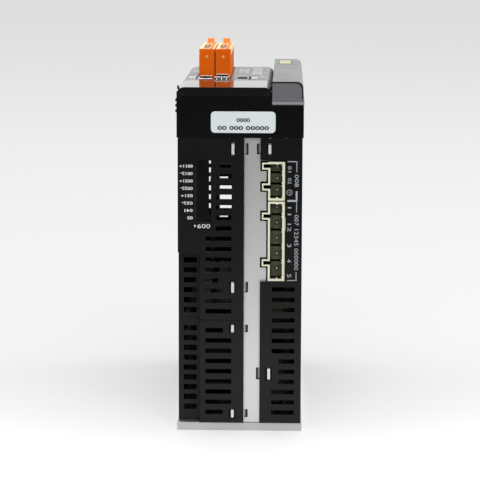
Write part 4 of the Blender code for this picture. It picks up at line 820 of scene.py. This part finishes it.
def zigzag_shade_strokes(piece, centre, near_end, top, material):
    """A long zigzag of four dark strokes laid on a plug's top: painted shade where openings in the top lie in
    shadow.
    """
    half, lift = 0.32, 0.02
    left, right, near, far = centre - 1.75, centre + 0.55, near_end + 11.0, near_end + 37.0
    middle = (left + right) / 2
    corner_points = ((left, near), (left, far), (middle, near), (right, far), (right, near))
    for begin, end in zip(corner_points, corner_points[1:]):
        start, stop = Vector((*begin, top + 0.01)), Vector((*end, top + 0.01))
        run = stop - start
        side = Vector((-run.y, run.x, 0.0)).normalized() * half
        side = Vector((half, 0.0, 0.0)) if abs(side.x) > abs(side.y) else side
        foot = [start - side, start + side, stop + side, stop - side]
        piece.loft([foot, [point + Vector((0, 0, lift)) for point in foot]], material)


def plug_details(index, materials):
    """Release buttons, clamp cages, side ribs, a moulding mark and painted-shade strokes of a terminal plug.
    """
    low, high = corners(f"control_plug_{index}")
    body = moved_body(f"plug_{index}_pull")
    centre = (low.x + high.x) / 2
    orange, steel = materials["orange_plastic"], materials["tin"]
    marks = Piece(f"control_plug_{index}_buttons", body, "orange_plastic")
    cages = Piece(f"control_plug_{index}_clamps", body, "bright_steel")
    pitch = (high.y - 3.7 - low.y - 5.0) / (PLUG_ENTRIES - 1)
    for step in range(PLUG_ENTRIES):
        y = low.y + 2.5 + step * pitch
        marks.box((centre + 1.0, y - 1.35, high.z - 0.4), (centre + 3.2, y + 1.35, high.z + 0.25),
                  orange, 0.2)
        marks.box((centre + 1.35, y - 0.28, high.z + 0.2), (centre + 2.85, y + 0.28, high.z + 0.27),
                  materials["print_black"], 0.02)
        for x in (centre - 1.86, centre + 0.26):
            cages.box((x, y - 1.1, high.z - 5.9), (x + 0.2, y + 1.1, high.z - 1.6), steel, 0.05)
        cages.box((centre - 1.6, y + 0.55, high.z - 5.6), (centre + 0.2, y + 0.75, high.z - 2.2), steel, 0.05)
        for x0, x1 in ((low.x - 0.13, low.x + 0.01), (high.x - 0.01, high.x + 0.13)):
            marks.box((x0, y - 0.35, low.z + 3.0), (x1, y + 0.35, high.z - 3.0), orange, 0.05)
    marks.lathe([(0.0, 0.75), (0.14, 0.7), (0.2, 0.4)], (centre, low.y, high.z - 4.0), (0, -1, 0),
                materials["pale_orange"], 18)
    zigzag_shade_strokes(marks, centre, low.y, high.z, materials["orange_painted_shade"])
    marks.done()
    cages.done()


def lever_grips(index, orange):
    """Three ribs across a plug's release lever."""
    low, high = corners(f"plug_lever_{index}")
    piece = Piece(f"plug_lever_{index}_grips", moved_body(f"lever_{index}_release"), "orange_plastic")
    for step in range(3):
        y = low.y + 0.7 + step
        piece.box((low.x + 0.4, y - 0.22, high.z - 0.15), (high.x - 0.4, y + 0.22, high.z - 0.005),
                  orange, 0.08)
    piece.done()


# ---------------------------------------------------------------- controls under the flip cover
SEGMENTS = ((0.0, 1.0, True), (0.0, 0.0, True), (0.0, -1.0, True),
            (-0.5, 0.5, False), (0.5, 0.5, False), (-0.5, -0.5, False), (0.5, -0.5, False))
KEY_SHAPES = ((3, 90), (3, 270), (4, 0), (4, 45), (24, 0))      # sides and turn of each key's mark


def display_digits(materials):
    """Five seven-segment digits behind the display's window."""
    low, high = corners("display_module")
    piece = Piece("display_digits", "housing", "component_black")
    face = high.z - 0.48
    width, height = 2.6, 3.1
    for digit in range(5):
        x = low.x + (4.0 + 5.0 * digit)
        y = (low.y + high.y) / 2
        for across, along, level in SEGMENTS:
            cx = x + across * width + 0.1 * along * height
            cy = y + along * height
            half = (0.95, 0.26) if level else (0.26, 1.2)
            lit = not (level and along == 0.0)
            piece.box((cx - half[0], cy - half[1], face), (cx + half[0], cy + half[1], face + 0.12),
                      materials["red_lens" if lit else "unlit_segment"], 0.1)
        piece.lathe([(0.0, 0.3), (0.1, 0.28), (0.12, 0.1)],
                    (x + 2.1, y - height, face), (0, 0, 1), materials["unlit_segment"], 10)
    piece.done()


def flat_mark(piece, outline, top, material):
    """A printed shape, from its corners, on a surface at the height top."""
    piece.loft([[(x, y, z) for x, y in outline] for z in (top - 0.01, top + PRINT)], material)


def key_marks(materials):
    """A simple shape on each key, and a dished rim round it."""
    for index, (sides, turn) in enumerate(KEY_SHAPES, start=1):
        low, high = corners(f"key_{index}")
        centre = (low + high) / 2
        piece = Piece(f"key_{index}_mark", moved_body(f"key_{index}_press"), "white_plastic")
        angles = [math.radians(turn) + 2 * math.pi * side / sides for side in range(sides)]
        outline = [(centre.x + 1.1 * math.cos(a), centre.y + 1.1 * math.sin(a)) for a in angles]
        flat_mark(piece, outline, high.z, materials["print_black"])
        rim = circle((centre.x, centre.y, high.z), (high.x - low.x) / 2 - 0.35, 24, (0, 1, 0))
        piece.tube(rim, 0.12, materials["white_plastic"], 6, closed=True)
        piece.done(smooth_angle=50)


def dial_marks(materials):
    """An arrow and grip teeth on each dial, and digits round it on the deck."""
    for index in (1, 2):
        low, high = corners(f"address_dial_{index}")
        centre = (low + high) / 2
        piece = Piece(f"address_dial_{index}_arrow", moved_body(f"dial_{index}_turn"), "white_plastic")
        tip = centre.y + 3.6
        arrow = [(centre.x, tip), (centre.x - 0.9, tip - 1.6), (centre.x + 0.9, tip - 1.6)]
        flat_mark(piece, arrow, high.z, materials["print_black"])
        for x, y, _ in circle(centre, 4.42, 12, (0, 1, 0)):
            piece.box((x - 0.14, y - 0.14, high.z - 2.2), (x + 0.14, y + 0.14, high.z - 0.15),
                      materials["white_plastic"], 0.05)
        piece.done()
        scale = Piece(f"address_dial_{index}_scale", "housing", "white_label")
        for digit in range(10):
            a = math.radians(90 - 36 * digit)
            place = (centre.x + 5.35 * math.cos(a), centre.y + 5.35 * math.sin(a), DECK + PRINT)
            scale.word(str(digit), place, (0.65, 0.95), materials["print_white"])
        scale.done()


# ---------------------------------------------------------------- boards and power parts
POWER_PARTS = ("bus_capacitor_1", "bus_capacitor_2", "bus_capacitor_3", "line_choke", "inrush_relay",
               "supply_transformer", "film_capacitor", "power_module")
CHIP_SIZES = ((2.0, 1.2), (1.6, 0.8), (3.2, 1.6))
CHIP_BODY_SHARE = 0.72  # of a chip's length between its tinned ends
PACKAGE_HALVES = (2.5, 3.5, 5.0)
CHOKE_BORE = 4.5        # radius of the hole in the ring
CHOKE_TURNS = 26
CHOKE_LEAD_GAP = 0.13   # sine of the angle left bare at each side
FAN_HUB = 9.0
FAN_BLADES = 7
SLOT_ROWS = 13          # of the right shell's ventilation slots
SLOT_PITCH = 5.09


def footprints(nodes):
    """The stretches (near, far, low, high) of an upright board that larger parts stand on."""
    areas = []
    for node in nodes:
        low, high = corners(node)
        areas.append((low.y, high.y, low.z, high.z))
    return areas


def populate(board, side, seed, count, keep_out, materials):
    """Small chip parts, and a few larger packages with pins, on one face of an upright board."""
    low, high = corners(board)
    face = low.x if side < 0 else high.x
    draw = random.Random(seed)
    tin, dark = materials["tin"], materials["component_black"]
    piece = Piece(f"{board}_parts_{'left' if side < 0 else 'right'}", "housing", "circuit_board")

    def slab(y0, y1, z0, z1, near, far, material, chamfer):
        x0, x1 = sorted((face + side * near, face + side * far))
        piece.box((x0, y0, z0), (x1, y1, z1), material, chamfer)

    def free_place(margin_y, margin_z, sizes, clearance):
        """A random place and size, or None where a larger part stands."""
        y = low.y + margin_y + draw.random() * (high.y - low.y - 2 * margin_y)
        z = low.z + margin_z + draw.random() * (high.z - low.z - 2 * margin_z)
        size = draw.choice(sizes)
        room = clearance(size)
        blocked = any(y0 - room < y < y1 + room and z0 - room < z < z1 + room for y0, y1, z0, z1 in keep_out)
        return None if blocked else (y, z, size)

    for _ in range(count):
        found = free_place(3, 3, CHIP_SIZES, lambda size: 2.5)
        if not found:
            continue
        y, z, (length, width) = found
        half_y, half_z = length / 2, width / 2
        if draw.random() < 0.5:
            half_y, half_z = half_z, half_y
        body = materials["component_brown"] if draw.random() < 0.5 else dark
        middle = CHIP_BODY_SHARE
        slab(y - half_y * middle, y + half_y * middle, z - half_z * 0.98, z + half_z * 0.98, 0.0, 0.5,
             body, 0.08)
        for sign in (-1, 1):
            if half_y > half_z:
                y0, y1 = sorted((y + sign * half_y * middle, y + sign * half_y))
                slab(y0, y1, z - half_z, z + half_z, 0.0, 0.52, tin, 0.06)
            else:
                z0, z1 = sorted((z + sign * half_z * middle, z + sign * half_z))
                slab(y - half_y, y + half_y, z0, z1, 0.0, 0.52, tin, 0.06)
    for _ in range(max(2, count // 25)):
        found = free_place(10, 9, PACKAGE_HALVES, lambda half: half + 1.5)
        if not found:
            continue
        y, z, half = found
        slab(y - half, y + half, z - half, z + half, 0.1, 1.2, dark, 0.15)
        pins = int(half / 0.45)
        for pin in range(pins):
            pin_z = z - half + (pin + 0.5) * 2 * half / pins
            for sign in (-1, 1):
                y0, y1 = sorted((y + sign * half, y + sign * (half + 0.8)))
                slab(y0, y1, pin_z - 0.12, pin_z + 0.12, 0.0, 0.35, tin, 0.03)
    piece.done()


def capacitor_details(index, materials):
    """Aluminium top with a pressed vent, a rolled rim and a polarity stripe."""
    low, high = corners(f"bus_capacitor_{index}")
    centre = (low + high) / 2
    radius = (high.y - low.y) / 2
    piece = Piece(f"bus_capacitor_{index}_top", "housing", "aluminium")
    end = (low.x, centre.y, centre.z)
    piece.lathe([(-0.05, radius - 1.3), (0.12, radius - 1.3), (0.16, radius - 2.0)],
                end, (-1, 0, 0), materials["bare_aluminium"], 36)
    piece.lathe([(-0.6, radius + 0.02), (0.1, radius + 0.02), (0.3, radius - 0.6),
                 (0.1, radius - 1.3), (-0.1, radius - 1.3)],
                end, (-1, 0, 0), materials["component_black"], 36)
    for turn in (0, 60, 120):
        along = Vector((0, math.cos(math.radians(turn)), math.sin(math.radians(turn))))
        start = Vector(end) - 0.62 * radius * along + Vector((-0.16, 0, 0))
        stop = Vector(end) + 0.62 * radius * along + Vector((-0.16, 0, 0))
        piece.tube([start, stop], 0.12, materials["component_black"], 6)
    for step in range(5):
        a = math.radians(150 + 3 * step)
        y, z = centre.y + radius * math.cos(a), centre.z + radius * math.sin(a)
        piece.box((low.x + 1.2, y - 0.35, z - 0.35), (high.x - 1.2, y + 0.3, z + 0.3),
                  materials["white_label"], 0.2)
    piece.done(smooth_angle=40)


def wound_choke(materials):
    """A coated ring core with enamelled copper turns, for the plain ring."""
    low, high = corners("line_choke")
    centre = (low + high) / 2
    outer, inner, half = (high.y - low.y) / 2, CHOKE_BORE, (high.x - low.x) / 2
    core_r, wire = (outer + inner) / 2, 0.55
    arm_r, arm_x = (outer - inner) / 2 - 1.3, half - 1.3
    piece = Piece("line_choke_wound", "housing", "component_brown")
    profile = [(-arm_x, core_r - arm_r), (-arm_x, core_r + arm_r),
               (arm_x, core_r + arm_r), (arm_x, core_r - arm_r)]
    piece.lathe(profile + profile[:1], centre, (1, 0, 0), materials["core_paint"], 40)

    def rounded(value):
        """Pushes a sine or cosine out towards a square with rounded corners."""
        return math.copysign(abs(value) ** 0.5, value)

    for turn in range(CHOKE_TURNS):
        angle = 2 * math.pi * (turn + 0.5) / CHOKE_TURNS
        if abs(math.sin(angle)) < CHOKE_LEAD_GAP:
            continue
        radial = Vector((0, math.cos(angle), math.sin(angle)))
        loop = []
        for step in range(20):
            a = 2 * math.pi * step / 20
            reach = core_r + (arm_r + wire) * rounded(math.cos(a))
            loop.append(centre + radial * reach + Vector(((arm_x + wire) * rounded(math.sin(a)), 0, 0)))
        piece.tube(loop, wire, materials["copper"], 6, closed=True)
    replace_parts(piece.done(smooth_angle=50), "line_choke")


def wound_transformer(materials):
    """Ferrite halves round a taped winding on a pinned bobbin, for the plain block."""
    low, high = corners("supply_transformer")
    centre = (low + high) / 2
    piece = Piece("supply_transformer_wound", "housing", "component_brown")
    leg, base = 4.5, 3.0
    ferrite, tape = materials["ferrite"], materials["yellow_tape"]
    z0, z1 = low.z + base, high.z - base
    piece.box((low.x, low.y, z0), (high.x - base, low.y + leg, z1), ferrite, 0.4)
    piece.box((low.x, high.y - leg, z0), (high.x - base, high.y, z1), ferrite, 0.4)
    piece.box((low.x, low.y + leg, z0), (low.x + leg, high.y - leg, z1), ferrite, 0.4)
    piece.box((high.x - base, low.y + 0.5, low.z), (high.x, high.y - 0.5, high.z),
              materials["component_black"], 0.4)
    for layer, (grow, material) in enumerate(((0.0, materials["copper"]), (0.5, tape))):
        half_y, half_z = high.y - centre.y - leg - 1.2 + grow, high.z - centre.z - 1.4 + grow
        x0, x1 = low.x + leg + 1.0 + 0.7 * layer, high.x - 4.0 - 0.7 * layer
        piece.box((x0, centre.y - half_y, centre.z - half_z), (x1, centre.y + half_y, centre.z + half_z),
                  material, 2.0)
    for step in range(5):
        y = low.y + 3.0 + 4.0 * step
        for z in (low.z + 0.8, high.z - 0.8):
            piece.lathe([(0.0, 0.4), (1.6, 0.4), (1.9, 0.25)], (high.x - 3.2, y, z), (-1, 0, 0),
                        materials["tin"], 10)
    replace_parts(piece.done(), "supply_transformer")


def module_details(materials):
    """Clamp screws and solder pins of the power module."""
    low, high = corners("power_module")
    piece = Piece("power_module_fittings", "housing", "bright_steel")
    middle = (low.z + high.z) / 2
    for y in (low.y + 5, high.y - 5):
        piece.lathe([(0.0, 3.6), (0.5, 3.6), (0.5, 2.6), (1.9, 2.5), (2.2, 1.9)],
                    (high.x, y, middle), (1, 0, 0), materials["bright_steel"], 24)
    for step in range(16):
        y = low.y + (8.0 + 3.2 * step)
        for z in (low.z + 2.0, high.z - 2.0):
            piece.box((high.x, y - 0.4, z - 0.3), (high.x + 8.5, y + 0.4, z + 0.3),
                      materials["tin"], 0.1)
    piece.done()


def fan_blade(blade, centre, hub, tip):
    """Rings of one twisted, cambered blade, from inside the hub out to the tip."""
    rings = []
    for step in range(7):
        share = step / 6
        radius = hub - 0.4 + share * (tip - hub + 0.4)
        lean = math.radians(52 - 20 * share)
        chord = 4.4 + 1.1 * share
        base = 2 * math.pi * blade / FAN_BLADES + 0.45 * share
        ring = []
        for point in range(10):
            a = 2 * math.pi * point / 10
            along, across = chord * math.cos(a), 0.42 * math.sin(a) + 0.9 * math.sin(a) ** 2 - 0.4
            swing = base + (along * math.sin(lean) - across * math.cos(lean)) / radius
            depth = (along * math.cos(lean) + across * math.sin(lean)) * 0.98
            ring.append((centre.x + radius * math.cos(swing), centre.y + depth,
                         centre.z + radius * math.sin(swing)))
        rings.append(ring)
    return rings


def fan_details(materials):
    """Twisted blades on a domed hub, for the plain rotor, and screws in the frame's corners."""
    low, high = corners("fan_rotor")
    centre, depth = (low + high) / 2, high.y - low.y
    hub, tip = FAN_HUB, (high.x - low.x) / 2 - 0.05
    black = materials["component_black"]
    rotor = Piece("fan_rotor_moulded", moved_body("fan_spin"), "component_black")
    dome = [(0.0, hub - 0.2), (0.3, hub), (depth - 0.8, hub), (depth - 0.2, hub - 0.7), (depth, hub - 2.0)]
    rotor.lathe(dome, (centre.x, low.y, centre.z), (0, 1, 0), black, 40)
    rotor.lathe([(0.0, 6.2), (0.04, 6.2)], (centre.x, high.y - 0.02, centre.z), (0, 1, 0),
                materials["white_label"], 32)
    for blade in range(FAN_BLADES):
        rotor.loft(fan_blade(blade, centre, hub, tip), black)
    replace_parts(rotor.done(smooth_angle=40), "fan_rotor")
    low, high = corners("fan_frame")
    screws = Piece("fan_screws", "housing", "bright_steel")
    for x in (low.x + 3.2, high.x - 3.2):
        for z in (low.z + 3.2, high.z - 3.2):
            screws.lathe([(0.0, 2.4), (-0.25, 2.3), (-0.3, 1.2)], (x, high.y + 0.28, z), (0, 1, 0),
                         materials["bright_steel"], 20)
    screws.done()


def cover_knobs(materials):
    """Round hinge caps at the flip cover's two upper corners."""
    low, high = corners("flip_cover")
    piece = Piece("flip_cover_knobs", "cover", "gloss_black")
    black = materials["gloss_black"]
    y = low.y + 2.2
    for x in (low.x + 0.75, high.x - 0.6):
        piece.lathe([(-0.5, 0.75), (-0.35, 0.9), (0.35, 0.9), (0.5, 0.75)], (x, y, high.z - 0.15),
                    (1, 0, 0), black, 24)
        piece.box((x - 0.4, y - 0.5, high.z - 1.2), (x + 0.4, y + 0.5, high.z), black, 0.1)
    piece.done(smooth_angle=50)


def side_cover_trim(materials):
    """A ledge along the foot of the side cover's end cap, and one fine step above it, in paler copies of the
    grey plastic as a painted highlight.
    """
    low, high = corners("side_cover_cap")
    piece = Piece("side_cover_step", "housing", "grey_plastic")
    piece.box((low.x + 0.05, low.y - 0.04, low.z + 0.15), (high.x - 0.05, low.y + 0.4, low.z + 1.6),
              materials["ledge_highlight_grey"], 0.25)
    piece.box((low.x + 0.25, low.y + 0.27, low.z + 2.3),
              (high.x - 0.4, low.y + 0.5, low.z + 2.7), materials["step_highlight_grey"], 0.05)
    piece.done()


def encoder_contacts(materials):
    """Insulator and contact strips inside the encoder socket."""
    low, high = corners("encoder_socket")
    piece = Piece("encoder_socket_insert", "housing", "component_black")
    centre = (low.x + high.x) / 2
    piece.box((centre - 1.3, high.y - 9.4, low.z + 2.6), (centre + 1.3, high.y - 2.0, high.z - 2.6),
              materials["component_black"], 0.3)
    for step in range(5):
        z = low.z + (3.9 + 2.1 * step)
        for side in (-1, 1):
            x = centre + side * 1.3
            piece.box((x - 0.12, high.y - 9.3, z - 0.4), (x + 0.12, high.y - 2.6, z + 0.4),
                      materials["gold"], 0.05)
    piece.done()


def shade_baffles(materials):
    """Dark strips inside the shells, behind the windows and along the back plate, put there as painted shade.
    """
    low, high = corners("left_shell_front")
    left, seam = low.x, high.z
    edge = corners("right_shell")[0].x
    plate = corners("heat_sink")[0].z + PLATE_TOP
    near, far = corners("upper_end_wall")[0].y, corners("right_shell")[1].y
    frame_y = corners("fan_frame")[0].y
    black = materials["component_black"]
    piece = Piece("shade_strips", "housing", "component_black")

    def strip(x0, x1, depth, z0, z1):
        y = near + depth
        piece.box((x0, y, z0), (x1, y + 0.4, z1), black, 0.05)

    strip(left + 8.0, left + 15.0, 0.5, seam - 12.8, seam - 9.6)
    strip(left + 17.6, left + 26.0, 0.5, seam - 12.9, seam - 11.9)
    strip(left + 7.6, left + 9.3, 0.1, seam - 42.0, seam - 9.6)
    strip(edge + 1.8, edge + 8.0, 2.6, seam - 9.4, seam - 1.0)
    strip(edge + 1.8, edge + 7.5, 2.6, seam - 119.5, seam - 111.5)
    for foot, top in ((-9.0, -1.5), (-76.5, -69.0), (-96.0, -90.0), (-138.5, -132.5)):
        strip(left + 24.0, left + 29.0, 2.6, seam + foot, seam + top)
    piece.box((left + 3.0, frame_y - 0.9, plate), (-left - 18.0, frame_y - 0.5, plate + 3.0), black)
    piece.box((edge + 3.0, far - 3.0, plate), (-left - 2.6, far - 2.6, plate + 3.0), black)
    piece.done()


def tab_faces(materials):
    """Bright round-topped faces on the latch tabs that show in the windows: the tabs' steel in a brighter
    copy, as a painted highlight.
    """
    sheet_y = corners("upper_end_wall")[0].y
    left_x, right_x = corners("left_shell_front")[1].x - 5.4, corners("right_shell")[0].x + 4.5
    piece = Piece("latch_tab_faces", "housing", "sheet_steel")
    half, arc_steps = 0.66, 8
    for x, spans in zip((left_x, right_x), latch_spans()):
        for z0, z1 in spans:
            bottom, shoulder = z0 + 0.75, z1 - 0.75 - half
            outline = [(x - half, bottom), (x + half, bottom)]
            for step in range(arc_steps + 1):
                a = math.pi * step / arc_steps
                outline.append((x + half * math.cos(a), shoulder + half * math.sin(a)))
            rings = [[(px, sheet_y - rise, pz) for px, pz in outline] for rise in (0.0, 0.05)]
            piece.loft(rings, materials["tab_steel_highlight"])
    piece.done()


def shield_springs(materials):
    """Sprung shield fingers on the second jack's near face, and beside it."""
    low, high = corners("network_jack_2")
    piece = Piece("jack_shield_springs", "housing", "bright_steel")
    steel, dark, blue = materials["bright_steel"], materials["component_black"], materials["blue_insulator"]
    width = (high.x - low.x) / 3
    for column in range(3):
        x0 = low.x + (column + 0.12) * width
        x1 = low.x + (column + 0.88) * width
        piece.box((x0, low.y - 0.08, high.z - 2.9), (x1, low.y - 0.02, high.z - 0.5),
                  dark if column % 2 else blue)
        rings = []
        for step in range(7):
            share = step / 6
            y = low.y - (0.1 + 0.55 * math.sin(math.pi * share))
            z = high.z - (0.4 + 2.6 * share)
            left = x0 + (0.25 + 0.3 * share) * width
            right = x1 - (0.4 - 0.3 * share) * width
            rings.append([(left, y, z), (right, y, z), (right, y + 0.12, z), (left, y + 0.12, z)])
        piece.loft(rings, steel)
    for finger in range(3):
        x = high.x + (0.35 + 0.95 * finger)
        rings = []
        for step in range(8):
            share = step / 7
            y = low.y + (0.5 + 5.5 * share)
            z = high.z - (3.2 - 2.1 * math.sin(math.pi * (0.15 + 0.7 * share)))
            rings.append([(x, y, z), (x + 0.55, y, z), (x + 0.55, y, z - 0.15), (x, y, z - 0.15)])
        piece.loft(rings, steel if finger % 2 else blue)
    piece.done(smooth_angle=50)


def bus_strip(materials):
    """A row of small moulded parts along the power board's near edge, one behind each slot."""
    low, high = corners("power_board")
    piece = Piece("power_board_edge_parts", "housing", "component_brown")
    foot = corners("right_shell")[0].z
    draw = random.Random(5)
    for row in range(SLOT_ROWS):
        z = foot + 4.6 + SLOT_PITCH * row
        if z > high.z - 2.0:
            break
        for offset in (-0.6, 0.7):
            width = 1.0 + 0.7 * draw.random()
            y0 = low.y + 0.6 + 1.5 * draw.random()
            piece.box((low.x - width, y0, z + offset - 0.5), (low.x + 0.02, y0 + 3.0, z + offset + 0.5),
                      materials["dusty_olive"], 0.12)
    piece.done()


def make_details(materials):
    """Everything that is not one of the CAD nodes."""
    left_legend(materials["print_white"])
    right_legend(materials["print_blue_grey"])
    label_print(materials["print_black"])
    panel_print(materials["print_white"], materials["print_black"])
    socket_details("dc_header", DC_DROPS, materials)
    socket_details("mains_header", MAINS_DROPS, materials)
    notch_ramps(materials)
    for index in (1, 2):
        jack_insert(index, materials["component_black"])
        jack_contacts(index, materials["gold"])
        jack_trim(index, materials["bright_steel"], materials["warm_lens"])
        plug_details(index, materials)
        lever_grips(index, materials["orange_plastic"])
    port_details(materials)
    display_digits(materials)
    key_marks(materials)
    dial_marks(materials)
    populate("control_board", -1, 3, 70, (), materials)
    populate("power_board", -1, 7, 110, footprints(POWER_PARTS), materials)
    wound_choke(materials)
    wound_transformer(materials)
    module_details(materials)
    for index in (1, 2, 3):
        capacitor_details(index, materials)
    fan_details(materials)
    cover_knobs(materials)
    side_cover_trim(materials)
    shade_baffles(materials)
    tab_faces(materials)
    shield_springs(materials)
    bus_strip(materials)
    encoder_contacts(materials)


def main():
    materials = make_materials()
    make_camera()
    make_surroundings()
    dress_nodes(materials)
    make_details(materials)
    SCENE.view_settings.view_transform = "Standard"


main()
